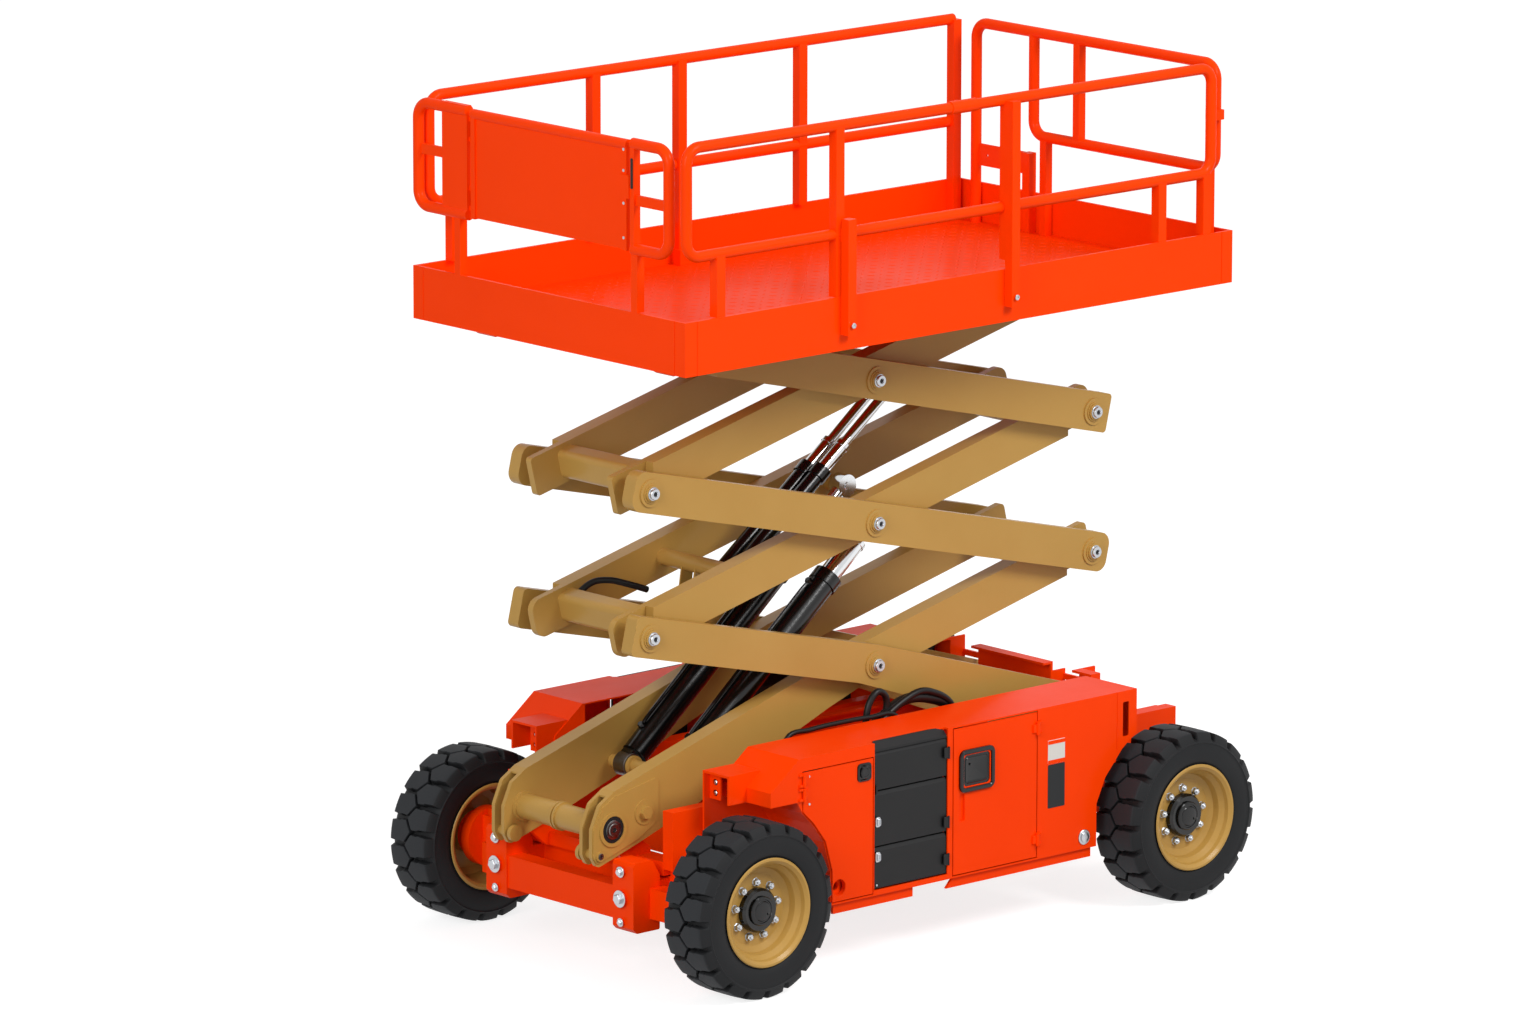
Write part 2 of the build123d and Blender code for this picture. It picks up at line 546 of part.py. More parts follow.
def axle_beam(x, half_length):
    return box(x - 60, x + 60, -half_length, half_length, axle_top - 120, axle_top)


def hub(x, y):
    """Drum, hub and spindle of a wheel, outwards from y."""
    return join(rod_y(x, tyre_radius, drum_r, y, 746), rod_y(x, tyre_radius, hub_r, 740, hub_face),
                rod_y(x, tyre_radius, spindle_r, hub_face - 1, spindle_end))


def steer_axle():
    """Steered axle: its beam, the front beam and, on each side, the mounting block and the clevis."""
    x, z = -wheel_x, tyre_radius
    front_beam = box(-1390, -1312, -320, 320, 250, 380)
    side = slab_y([(-1398, 225), (-1380, 207), (-1262, 207), (-1262, 425), (-1300, 486), (-1390, 486), (-1398, 470)],
                  block_y, 435, 8.0)
    side = side + box(-1312, -1240, 434, 560, 256, 376) + box(-1263, -1202, block_y, 430, 290, 400)
    side = side + box(x - 52, x + 52, 540, 575, z - clevis_out, z + clevis_out)
    for z0, z1 in ((z - clevis_out, z - clevis_in), (z + clevis_in, z + clevis_out)):
        side = side + box(x - 47, x + 47, 555, kingpin_y, z0, z1) + rod_z(x, kingpin_y, 47, z0, z1)
    side = side - rod_z(x, kingpin_y, kingpin_r + pin_gap, z - 145, z + 155)
    # bolt bosses on the block's front face
    for boss_z, r, proud in ((446, 17, 10), (340, 30, 14), (246, 14, 10)):
        side = side + rod_x(370, boss_z, r, -1398 - proud, -1397)
    return join(front_beam, axle_beam(x, 560), side, far(side))


def knuckle():
    x, y, z = -wheel_x, kingpin_y, tyre_radius
    k = box(x - 44, x + 44, y - 44, y + 60, z - 94, z + 94)
    shoulder = clevis_in - lug_gap
    k = join(k, rod_z(x, y, kingpin_r, z - 126, z + 126), rod_z(x, y, 42, z - shoulder, z + shoulder))
    return k + hub(x, y + 50)


def rear_axle():
    side = hub(wheel_x, 598)
    return join(axle_beam(wheel_x, 600), side, far(side))


def tyre(x, s):
    """Plain tyre out to the lugs' tips. s is -1 on the near side."""
    h = tyre_width / 2
    m = tyre_face_y - h
    wall_side = [(rim_radius - 10, h - 14), (rim_radius + 4, h - 6), (250, h - 1), (285, h), (318, h - 10),
                 (338, h - 24), (tyre_radius, h - 46)]
    prof = [(r, -v) for r, v in wall_side] + wall_side[::-1]
    return turned_y([(r, s * (m + v)) for r, v in prof], x, tyre_radius)


def rim(x, s):
    """Stepped rim and its wheel nuts. The profile runs from the inner flange round the well and the
    disc to the outer flange, and its ends meet the tyre's bead."""
    y1, y0 = tyre_face_y, tyre_face_y - tyre_width
    prof = [(201.7, y0 + 14), (201.7, y0 + 13), (rim_radius + 3.4, y0 + 5.8), (rim_radius, y0 + 2),
            (rim_radius - 8, y0 + 2), (192, y0 + 12), (186, y0 + 40), (176, y1 - 110), (150, y1 - 96), (90, y1 - 96),
            (90, hub_face + 0.3), (60, hub_face + 0.3), (60, y1 - 82), (142, y1 - 82), (166, y1 - 70), (172, y1 - 46),
            (188, y1 - 28), (192, y1 - 12), (rim_radius - 8, y1 - 2), (rim_radius, y1 - 2),
            (rim_radius + 3.4, y1 - 5.8), (201.7, y1 - 13), (201.7, y1 - 14)]
    r = turned_y([(a, s * b) for a, b in prof], x, tyre_radius)
    # wheel nuts
    for i in range(nut_count):
        a = radians(90 + 360 / nut_count * i)
        nut_x, nut_z = x + nut_circle * cos(a), tyre_radius + nut_circle * sin(a)
        r = r + rod_y(nut_x, nut_z, nut_r, *sorted((s * (y1 - 84), s * (y1 - 68))))
    return r


def hub_cap(x, s):
    y1 = tyre_face_y
    prof = [(0, spindle_end + 0.3), (59.7, spindle_end + 0.3), (59.7, y1 - 81.7), (87, y1 - 81.7), (87, y1 - 60),
            (78, y1 - 50), (56, y1 - 50), (54, y1 - 46), (44, y1 - 46), (42, y1 - 49), (0, y1 - 49)]
    return turned_y([(a, s * b) for a, b in prof], x, tyre_radius)


# ---- platform -----------------------------------------------------------------------------------
def platform_deck():
    hx, hy = deck_half_x, deck_half_y
    deck = box(-hx + 2, hx - 2, -hy + 2, hy - 2, deck_top - deck_sheet, deck_rim)
    deck = deck + box(*walk_x, *walk_y, deck_rim - 1, deck_top)
    skin = box(-hx, hx, -hy, hy, panel_low, panel_high)
    skin = skin - box(-hx + board, hx - board, -hy + board, hy - board, panel_low - 1, panel_high + 1)
    deck = deck + skin
    # a seam beside each corner angle
    for sx in (-1, 1):
        for sy in (-1, 1):
            seam_z = (panel_low - 1, panel_high + 1)
            deck = deck - box(sx * (hx - 62), sx * (hx - 58), sy * (hy - 2), sy * (hy + 1), *seam_z)
            deck = deck - box(sx * (hx - 2), sx * (hx + 1), sy * (hy - 62), sy * (hy - 58), *seam_z)
    return deck


beam_y = (470.0, 570.0)
head_x = (-175.0, 825.0)  # track of the sliding heads


def platform_beam():
    """The far-side beam under the deck, with the bracket and pin of the fixed head."""
    z1 = deck_top - deck_sheet
    f = fixed_head
    side = slab_y([(-1400, panel_low + 4), (-1310, 2408), (1310, 2408), (1400, panel_low + 4), (1400, z1),
                   (-1400, z1)], *beam_y)
    for y0, y1 in ((288, 299), (371, 382)):
        side = side + slab_y([(f[0] - 60, z1), (f[0] + 60, z1), (f[0] + 30, f[1] - 36), (f[0] - 30, f[1] - 36)],
                             y0, y1)
    side = side + rod_y(f[0], f[1], 20, 288, 384)
    return side + box(f[0] - 60, f[0] + 60, 371, beam_y[0] + 1, z1 - 8, z1)


def head_track():
    """Channel that the sliding head's roller runs in, open towards its arm."""
    g, h = sliding_head, head_track_half
    z1 = deck_top - deck_sheet
    track = box(*head_x, 176, 184, g[1] - h - 7, z1) + box(*head_x, 183, 216.5, g[1] - h - 7, g[1] - h)
    return track + box(*head_x, 183, 216.5, g[1] + h, z1)


def platform_crosses():
    """Flat cross members between the beams."""
    z1 = deck_top - deck_sheet
    return [box(x - 25, x + 25, -beam_y[0], beam_y[0], z1 - 40, z1) for x in (-1330, -1000, 900, 1330)]


rail_y_side = 772.0
bend = 62.0
near_end_x = 1346.0
control_z = (2740.0, 2830.0)
gate_y = (-462.0, 446.0)
gate_x = -1438.0
gate_hinges = (2970.0, 3240.0)
gate_hinge = (gate_x + 24, gate_y[1] + 5)


def square_post(x, y, z0, z1, w=post):
    return box(x - w / 2, x + w / 2, y - w / 2, y + w / 2, z0, z1)


def rail_near():
    y = -rail_y_side
    loop = tube([(200, y, rail_top_z), (-1424, y, rail_top_z), (-1424, y, rail_mid_z), (209, y, rail_mid_z)], bend)
    loop = loop + tube([(190, y, rail_top_z), (near_end_x, y, rail_top_z), (near_end_x, y, rail_mid_z),
                        (250, y, rail_mid_z)], bend)
    for x, z1 in ((-1266, rail_mid_z), (-656, rail_top_z), (1064, rail_mid_z), (1310, rail_mid_z)):
        loop = loop + square_post(x, y, panel_high, z1)
    # outside sockets, bolted to the toe board
    face = -deck_half_y
    loop = loop + box(-652, -610, face - 40, face, 2516, 2967) + box(-652, -610, face - 1, y - 10, 2880, 2930)
    loop = loop + box(209, 251, face - 40, face, 2517, rail_top_z) + box(209, 251, face - 1, y + 10, 2700, rail_top_z)
    for x in (-631, 230):
        loop = loop + rod_y(x, 2556, 9, face - 48, face - 39)
    return loop


def rail_far():
    y = rail_y_side
    x0, x1 = -1385.0, 1396.0
    loop = tube([(x1, y, rail_top_z), (x0, y, rail_top_z), (x0, y, rail_mid_z), (-500, y, rail_mid_z)], bend)
    loop = loop + rod_x(y, rail_mid_z, rail_r, -501, x1)
    for x, z1 in ((-1266, rail_mid_z), (-540, rail_top_z), (560, rail_top_z)):
        loop = loop + square_post(x, y, panel_high, z1)
    # two posts that stand on the deck inside the toe board
    inside = deck_half_y - board - 0.3 - post / 2
    for x in (-95, x1):
        loop = loop + square_post(x, inside, deck_rim, rail_top_z)
    return loop + box(-127, -63, inside - 40, inside, deck_rim, deck_top + 60)


def rail_end():
    x = deck_half_x - board - 0.3 - rail_r
    loop = tube([(x, 650, deck_rim), (x, 650, rail_top_z), (x, -728, rail_top_z), (x, -728, rail_mid_z),
                 (x, 312, rail_mid_z), (x, 312, rail_top_z - 2)], bend)
    loop = loop + square_post(x, 50, rail_mid_z, rail_top_z, 36)
    for y in (-690, 240):
        loop = loop + square_post(x, y, deck_rim, rail_mid_z, 36)
    # plate where the control box hangs, with its two bolt holes, on a post of its own
    loop = loop + square_post(x, 338, deck_rim, control_z[1], 40) + box(x - 4, x + 4, 318, 650, *control_z)
    for y in (420, 580):
        loop = loop - rod_x(y, sum(control_z) / 2, 5.5, x - 10, x + 10)
    # short link to the near rail
    return loop + box(near_end_x + rail_r, x, -rail_y_side - 4, -718, 3110, 3150)


def rail_gate_post():
    """Short rail at the gate's hinge side: a round loop with a folded plate that carries the hinges."""
    x, top = gate_x, rail_top_z - 14
    loop = tube([(x, 470, top), (x, rail_y_side, top), (x, rail_y_side, rail_mid_z), (x, 470, rail_mid_z)], bend)
    loop = loop + box(x - 12, x + 12, 470, 618, rail_mid_z - 20, top + 22) + box(x - 7, x + 7, 610, 760, 3110, 3150)
    loop = loop + box(x - 12, x + 24, 512, 548, panel_high, rail_mid_z)
    for z in gate_hinges:
        loop = loop + rod_z(*gate_hinge, 5, z - 48, z + 48)
        for z0 in (z - 48, z + 30.3):
            loop = loop + rod_z(*gate_hinge, 9, z0, z0 + 17.7) + box(x, x + 26, gate_y[1] + 11, 480, z0, z0 + 17.7)
    return loop


def rail_latch_post():
    x, top = gate_x, rail_top_z - 14
    loop = tube([(x, -486, top), (x, -690, top), (x, -690, rail_mid_z), (x, -486, rail_mid_z)], bend)
    loop = loop + box(x - 7, x + 7, -680, -500, 3075, 3115) + box(x - 16, x + 16, -508, -484, rail_mid_z, top)
    return loop + box(x - 12, x + 24, -521, -485, panel_high, rail_mid_z)


def gate():
    x = gate_x
    y0, y1 = gate_y
    top = rail_top_z - 22
    g = box(x - 8, x + 8, y0, y1, rail_mid_z - 6, top) + rod_y(x, top, 20, y0, y1)
    for edge0, edge1 in ((y0, y0 + 30), (y1 - 24, y1)):
        g = g + box(x - 14, x + 14, edge0, edge1, rail_mid_z - 10, top)
    # catch that meets the latch post
    g = g + box(x - 22, x - 8, y0 - 21.7, y0 + 26, 3100, 3190) - box(x - 9, x + 30, y0 - 30, y0 - 0.1, 3000, 3200)
    for z in gate_hinges:
        barrel = rod_z(*gate_hinge, 9, z - 30, z + 30) + box(x, x + 26, y1 - 20, y1 + 1, z - 26, z + 26)
        g = g + barrel - rod_z(*gate_hinge, 5 + pin_gap, z - 40, z + 40)
    return g


# ---- write every node ---------------------------------------------------------------------------
rail = frame_rail()
save("frame_rails", pair(rail))
save("front_cross_member", front_cross())
save("frame_cross_members", Compound(children=frame_crosses()))
save("rear_end_wall", end_wall())
near_box, near_vent, near_front, near_rear = side_box(), vent_stack(), front_door(), rear_door()
save("side_box_near", near_box)
save("side_box_far", far(near_box))
save("vent_stacks", pair(near_vent))
save("steer_end_door_near", near_front)
save("steer_end_door_far", far(near_front))
save("rear_end_door_near", near_rear)
save("rear_end_door_far", far(near_rear))
save("engine_block", box(-40, 620, side_y[0] + 40, side_y[1] - 60, body_low + wall + 0.3, 780))
save("tank_block", box(-40, 620, -side_y[1] + 60, -side_y[0] - 40, body_low + wall + 0.3, 760))
save("steer_axle", steer_axle())
far_knuckle = knuckle()
save("knuckle_far", far_knuckle)
save("knuckle_near", far(far_knuckle))
save("rear_axle", rear_axle())
for end, x in (("steer", -wheel_x), ("rear", wheel_x)):
    for side, s in (("near", -1), ("far", 1)):
        save(f"tyre_{end}_{side}", tyre(x, s))
        save(f"rim_{end}_{side}", rim(x, s))
        save(f"hub_cap_{end}_{side}", hub_cap(x, s))
for i in range(3):
    save(f"inner_arms_{i + 1}", pair(inner_side(i)))
    save(f"inner_crosses_{i + 1}", Compound(children=inner_cross(i)))
    save(f"outer_arms_{i + 1}", pair(outer_arm(i)))
f = sliding_foot
save("foot_rollers", pair(rod_y(*f, foot_roller_r, 370, 408) - rod_y(*f, 20 + pin_gap, 360, 420)))
f = sliding_head
save("head_rollers", pair(rod_y(*f, head_roller_r, 190, 216) - rod_y(*f, head_pin_r + pin_gap, 180, 230)))
lower = tele(low_eye, low_top, low_y, low_barrel_r, 43, 31, 46, 170, 1060, low_eye_w, low_pin)
upper = tele(up_eye, up_top, up_y, up_barrel_r, 27.5, 20, 32, 120, 800, up_eye_w, up_pin)
for where, shapes in (("lower", lower), ("upper", upper)):
    for part, shape in zip(("barrels", "stages", "rods"), shapes):
        save(f"{where}_lift_{part}", shape)
save("platform_deck", platform_deck())
save("platform_beams", pair(platform_beam()))
save("head_tracks", pair(head_track()))
save("platform_cross_members", Compound(children=platform_crosses()))
save("rail_near", rail_near())
save("rail_far", rail_far())
save("rail_end", rail_end())
save("rail_gate_post", rail_gate_post())
save("rail_latch_post", rail_latch_post())
save("gate", gate())
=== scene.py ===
# Rough-terrain scissor lift: finishes, tyre treads, small fittings, hoses, floor, light and camera.
# Metres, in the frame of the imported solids. The small fittings' sizes and places are in millimetres.
import json
import math
import bpy
import numpy as np
from mathutils import Matrix, Vector


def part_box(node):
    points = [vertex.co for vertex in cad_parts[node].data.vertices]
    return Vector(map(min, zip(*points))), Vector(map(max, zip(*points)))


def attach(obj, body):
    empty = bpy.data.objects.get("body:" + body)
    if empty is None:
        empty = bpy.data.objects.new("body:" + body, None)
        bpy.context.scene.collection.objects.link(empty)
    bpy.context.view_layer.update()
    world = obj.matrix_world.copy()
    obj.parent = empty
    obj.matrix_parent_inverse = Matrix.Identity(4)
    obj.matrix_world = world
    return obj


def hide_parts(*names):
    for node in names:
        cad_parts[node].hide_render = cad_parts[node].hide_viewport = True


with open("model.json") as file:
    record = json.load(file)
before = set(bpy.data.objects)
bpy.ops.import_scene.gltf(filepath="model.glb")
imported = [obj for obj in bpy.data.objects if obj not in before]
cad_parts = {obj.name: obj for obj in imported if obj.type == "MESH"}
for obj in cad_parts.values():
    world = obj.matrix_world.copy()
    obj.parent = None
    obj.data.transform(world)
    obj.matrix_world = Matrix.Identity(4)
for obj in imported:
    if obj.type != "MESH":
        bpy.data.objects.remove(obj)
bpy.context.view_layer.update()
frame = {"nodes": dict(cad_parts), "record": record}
nodes = frame["nodes"]
print("frame loaded:", len(nodes), "nodes")

# camera
cameraSettings = {
    "target": (3.96064, 4.71849, 0.27911),  # a point on the view's optical axis, right of the machine
    "distance": 45.740,
    "azimuth": -42.14,  # degrees round +Z from a camera that looks along +Y
    "elevation": 12.13,
    "roll": 0.08,
    "lens": 234.4,  # mm
    "sensor": 36,  # mm
    "clipEnd": 400,
}


def makeCamera(s):
    az, el = math.radians(s["azimuth"]), math.radians(s["elevation"])
    back = Vector((math.sin(az) * math.cos(el), -math.cos(az) * math.cos(el), math.sin(el)))
    right = Vector((math.cos(az), math.sin(az), 0))
    up = back.cross(right)
    turn = math.radians(s["roll"])
    right, up = (right * math.cos(turn) + up * math.sin(turn),
                 up * math.cos(turn) - right * math.sin(turn))
    data = bpy.data.cameras.new("camera")
    data.lens, data.sensor_width, data.clip_end = s["lens"], s["sensor"], s["clipEnd"]
    camera = bpy.data.objects.new("camera", data)
    stand = Matrix((right, up, back)).transposed().to_4x4()
    stand.translation = Vector(s["target"]) + back * s["distance"]
    camera.matrix_world = stand
    bpy.context.scene.collection.objects.link(camera)
    bpy.context.scene.camera = camera


makeCamera(cameraSettings)

# materials


def linear(hexColour):  # sRGB hex to linear RGBA
    parts = [int(hexColour[i:i + 2], 16) / 255 for i in (1, 3, 5)]
    return [c / 12.92 if c < 0.04045 else ((c + 0.055) / 1.055) ** 2.4 for c in parts] + [1.0]


def addNode(tree, kind, settings=(), **links):
    # a node of that kind with its settings, and each input fed by a socket or given a value.
    # an input goes by its name, with _ for a space, or by i and its number
    node = tree.nodes.new(kind)
    for key, value in dict(settings).items():
        setattr(node, key, value)
    for key, value in links.items():
        numbered = key[0] == "i" and key[1:].isdigit()
        socket = node.inputs[int(key[1:]) if numbered else key.replace("_", " ")]
        if isinstance(value, bpy.types.NodeSocket):
            tree.links.new(value, socket)
        else:
            socket.default_value = value
    return node


def newMaterial(name, colour, roughness, metallic=0.0, coat=0.0, coatRoughness=0.1, shine=0.5):
    made = bpy.data.materials.new(name)
    made.use_nodes = True
    tree = made.node_tree
    shader = tree.nodes["Principled BSDF"]
    shader.inputs["Base Color"].default_value = linear(colour)
    shader.inputs["Roughness"].default_value = roughness
    shader.inputs["Metallic"].default_value = metallic
    shader.inputs["Coat Weight"].default_value = coat
    shader.inputs["Coat Roughness"].default_value = coatRoughness
    shader.inputs["Specular IOR Level"].default_value = shine
    made.diffuse_color = linear(colour)
    return made, tree, shader


def objectPoint(tree):
    return addNode(tree, "ShaderNodeTexCoord").outputs["Object"]


coatSettings = {
    "peelMm": 3.0,  # one dimple of the orange-peel skin
    "coarser": 6,  # drawn this much larger, as the true one is too fine to show
    "depth": 0.0012,
    "patches": 1.7,  # cloudy patches a metre
    "drift": 0.35,  # how far the worst patch goes to the darker colour
}


def powderCoat(name, colour, dark, roughness, coat, shine):
    # steel sprayed with powder and baked: an even colour under a thin clear skin with a faint
    # orange peel, a little darker and duller in cloudy patches
    s = coatSettings
    made, tree, shader = newMaterial(name, colour, roughness, coat=coat, coatRoughness=0.16, shine=shine)
    point = objectPoint(tree)
    cloud = addNode(tree, "ShaderNodeTexNoise", Vector=point, Scale=s["patches"], Detail=4.0, Roughness=0.6)
    amount = addNode(tree, "ShaderNodeMapRange", Value=cloud.outputs["Fac"],
                     From_Min=0.42, From_Max=0.78, To_Min=0.0, To_Max=s["drift"])
    mix = addNode(tree, "ShaderNodeMix", {"data_type": "RGBA"}, i6=linear(colour), i7=linear(dark))
    tree.links.new(amount.outputs["Result"], mix.inputs["Factor"])
    tree.links.new(mix.outputs[2], shader.inputs["Base Color"])
    rough = addNode(tree, "ShaderNodeMapRange", Value=cloud.outputs["Fac"],
                    From_Min=0.3, From_Max=0.8, To_Min=roughness - 0.05, To_Max=roughness + 0.08)
    tree.links.new(rough.outputs["Result"], shader.inputs["Roughness"])
    skin = addNode(tree, "ShaderNodeTexNoise", Vector=point,
                   Scale=1000.0 / s["peelMm"] / s["coarser"], Detail=2.0)
    bump = addNode(tree, "ShaderNodeBump", Strength=0.35, Distance=s["depth"], Height=skin.outputs["Fac"])
    tree.links.new(bump.outputs["Normal"], shader.inputs["Normal"])
    return made


def textured(name, colour, roughness, grainMm, depthMm, metallic=0.0, shine=0.25):
    # moulded, printed or cast skin: one colour broken by a grain of the given size, four times
    # coarser than the real one so that it shows, and duller and shinier patches a hand wide
    made, tree, shader = newMaterial(name, colour, roughness, metallic, shine=shine)
    point = objectPoint(tree)
    grain = addNode(tree, "ShaderNodeTexNoise", Vector=point, Scale=1000.0 / grainMm / 4, Detail=3.0)
    bump = addNode(tree, "ShaderNodeBump", Strength=0.5, Distance=depthMm / 1000, Height=grain.outputs["Fac"])
    tree.links.new(bump.outputs["Normal"], shader.inputs["Normal"])
    cloud = addNode(tree, "ShaderNodeTexNoise", Vector=point, Scale=3.0, Detail=5.0)
    rough = addNode(tree, "ShaderNodeMapRange", Value=cloud.outputs["Fac"],
                    To_Min=roughness - 0.12, To_Max=roughness + 0.12)
    tree.links.new(rough.outputs["Result"], shader.inputs["Roughness"])
    return made


def plated(name, colour, roughness, brushedMm):
    # plated or oiled steel: bright metal whose gloss breaks up in patches ten strokes wide
    made, tree, shader = newMaterial(name, colour, roughness, 1.0)
    cloud = addNode(tree, "ShaderNodeTexNoise", Vector=objectPoint(tree),
                    Scale=1000.0 / brushedMm / 10, Detail=4.0)
    rough = addNode(tree, "ShaderNodeMapRange", Value=cloud.outputs["Fac"],
                    To_Min=roughness * 0.7, To_Max=roughness * 1.5)
    tree.links.new(rough.outputs["Result"], shader.inputs["Roughness"])
    return made


# powder coats: colour, colour of the patches, roughness, clear skin, shine
orange = powderCoat("orangePowderCoat", "#FF4000", "#F23800", 0.4, 0.06, 0.04)  # flat and strong
tan = powderCoat("tanPowderCoat", "#B68E47", "#A47A35", 0.42, 0.14, 0.2)  # earthy, with a soft sheen
blackPaint = powderCoat("blackEnamel", "#080808", "#0E0D0C", 0.2, 0.2, 0.35)  # deep, with long streaks
glossBlack = powderCoat("blackGlossPaint", "#070708", "#0B0B0D", 0.16, 0.15, 0.3)  # wet-looking
# moulded, printed and cast: colour, roughness, grain mm, depth mm
rubber = textured("naturalRubber", "#131416", 0.66, 4.0, 0.6)  # dull, soaks up the light
hoseRubber = textured("hoseRubber", "#101010", 0.4, 3.0, 0.1)  # smooth, a thin line of light on top
blackPlastic = textured("blackMouldedPlastic", "#121213", 0.48, 2.5, 0.15)  # satin, no reflections
paleVinyl = textured("paleVinylPlate", "#D9D5CE", 0.45, 6.0, 0.02)  # flat off-white
darkVinyl = textured("darkVinylPlate", "#1C1D1F", 0.45, 6.0, 0.02)  # flat charcoal
wearPlastic = textured("wearPlastic", "#1B1B1C", 0.5, 3.0, 0.2)  # waxy black of the rollers
castIron = textured("blackCastIron", "#2A2A2B", 0.6, 5.0, 0.6, 0.6)  # dark, grainy, half metallic
# metals: colour, roughness, stroke mm
hardChrome = plated("hardChrome", "#D6D8DA", 0.1, 2.0)  # mirror of the rods
zinc = plated("zincPlate", "#B9BCC0", 0.28, 1.0)  # pale bolts with soft glints
darkSteel = plated("oiledSteel", "#6E6C6A", 0.3, 1.5)  # brownish, half bright

slotFinishes = {"orange_paint": orange, "tan_paint": tan, "black_paint": blackPaint, "chrome": hardChrome,
                "dark_metal": castIron, "roller_plastic": wearPlastic, "tyre_rubber": rubber}
nodeFinishes = {"vent_stacks": blackPlastic}  # where a node's finish isn't its slot's
slots = {part["node"]: part["material_slot"] for part in frame["record"]["subparts"]}
for name, thing in nodes.items():
    finish = nodeFinishes.get(name, slotFinishes[slots[name]])
    for slot in thing.material_slots:
        slot.material = finish
    if not thing.material_slots:
        thing.data.materials.append(finish)
print("solids painted")

# meshes


def gridMesh(name, points):
    # points is rows x columns x 3; both the rows and the columns close into rings
    rows, columns = points.shape[:2]
    a = np.arange(rows * columns).reshape(rows, columns)
    b = np.roll(a, -1, 0)
    quads = np.stack([a, b, np.roll(b, -1, 1), np.roll(a, -1, 1)], -1).reshape(-1, 4)
    mesh = bpy.data.meshes.new(name)
    mesh.vertices.add(rows * columns)
    mesh.vertices.foreach_set("co", points.reshape(-1).astype(np.float32))
    mesh.loops.add(quads.size)
    mesh.loops.foreach_set("vertex_index", quads.reshape(-1).astype(np.int32))
    mesh.polygons.add(len(quads))
    mesh.polygons.foreach_set("loop_start", np.arange(0, quads.size, 4, dtype=np.int32))
    mesh.polygons.foreach_set("use_smooth", np.ones(len(quads), dtype=bool))
    mesh.update(calc_edges=True)
    return mesh


def solidMesh(name, points, faces):
    mesh = bpy.data.meshes.new(name)
    mesh.from_pydata(points.reshape(-1, 3).tolist(), [], faces)
    mesh.polygons.foreach_set("use_smooth", np.ones(len(faces), dtype=bool))
    mesh.update()
    return mesh


def place(name, mesh, body, finish, sharp=None):
    # puts a finished mesh in the scene, riding on its body; edges sharper than so many degrees stay crisp
    made = bpy.data.objects.new(name, mesh)
    bpy.context.scene.collection.objects.link(made)
    mesh.materials.append(finish)
    if sharp is not None:
        mesh.set_sharp_from_angle(angle=math.radians(sharp))
    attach(made, body)
    return made


# tyres
tyre = {
    "radius": 0.345,  # to the blocks' tops
    "axle": 1.143,  # from the machine's middle
    "blocks": 20,  # in each of the two rows
    "zigzag": 0.022,  # how far a block's point reaches past the middle
    "zigzagEnd": 0.072,  # sideways, where the zigzag has died away
    "kink": 0.0045,  # step round the tyre in the cross grooves
    "kinkFrom": 0.0455,  # sideways
    "kinkLength": 0.010,
    "widening": 0.0045,  # how much a cross groove opens on each side towards the shoulder
    "wideningFrom": 0.02,  # sideways
    "wideningLength": 0.08,
    "wallRadius": 0.2975,  # inside this the wall has neither kink nor widening
    "wallFade": 0.008,
    "scuffAndLightFrom": 0.007,  # below the blocks' tops, where the rubber starts to go grey: partly scuffing, partly painted light on the tops
    "scuffAndLightFull": 0.002,
    # half of the tread: sideways and radius on the grooves' floor, the same two on the blocks' tops,
    # share of block height
    "treadRows": [
        (0.0000, 0.3215, 0.0000, 0.3215, 0.0), (0.0040, 0.3215, 0.0040, 0.3215, 0.0),
        (0.0068, 0.3215, 0.0062, 0.3440, 0.85), (0.0078, 0.3215, 0.0078, 0.3450, 1.0),
        (0.0150, 0.3213, 0.0150, 0.3450, 1.0), (0.0300, 0.3210, 0.0300, 0.3449, 1.0),
        (0.0440, 0.3205, 0.0440, 0.3447, 1.0), (0.0480, 0.3203, 0.0480, 0.3446, 1.0),
        (0.0530, 0.3200, 0.0530, 0.3445, 1.0), (0.0570, 0.3198, 0.0570, 0.3444, 1.0),
        (0.0750, 0.3185, 0.0750, 0.3438, 1.0), (0.0930, 0.3165, 0.0930, 0.3428, 1.0),
        (0.0985, 0.3155, 0.0995, 0.3418, 1.0), (0.1020, 0.3145, 0.1020, 0.3400, 1.0),
        (0.1060, 0.3130, 0.1100, 0.3260, 1.0), (0.1110, 0.3105, 0.1165, 0.3130, 1.0),
        (0.1165, 0.3075, 0.1182, 0.3080, 1.0), (0.1195, 0.3055, 0.1195, 0.3055, 0.0)],
    # from there over the wall to the bead: sideways and radius
    "wallRows": [
        (0.1215, 0.3040), (0.1220, 0.3020), (0.1205, 0.2995), (0.1190, 0.2975), (0.1190, 0.2930),
        (0.1207, 0.2840), (0.1216, 0.2700), (0.1213, 0.2550), (0.1195, 0.2400), (0.1165, 0.2280),
        (0.1130, 0.2205), (0.1085, 0.2175), (0.1085, 0.2022)],
    # side of a cross groove: distance from its middle, share of block height
    "grooveSide": [(0.0, 0.0), (0.0060, 0.0), (0.0098, 0.88), (0.0110, 1.0),
                   (0.0170, 1.0), (0.0250, 1.0), (0.0340, 1.0)],
}


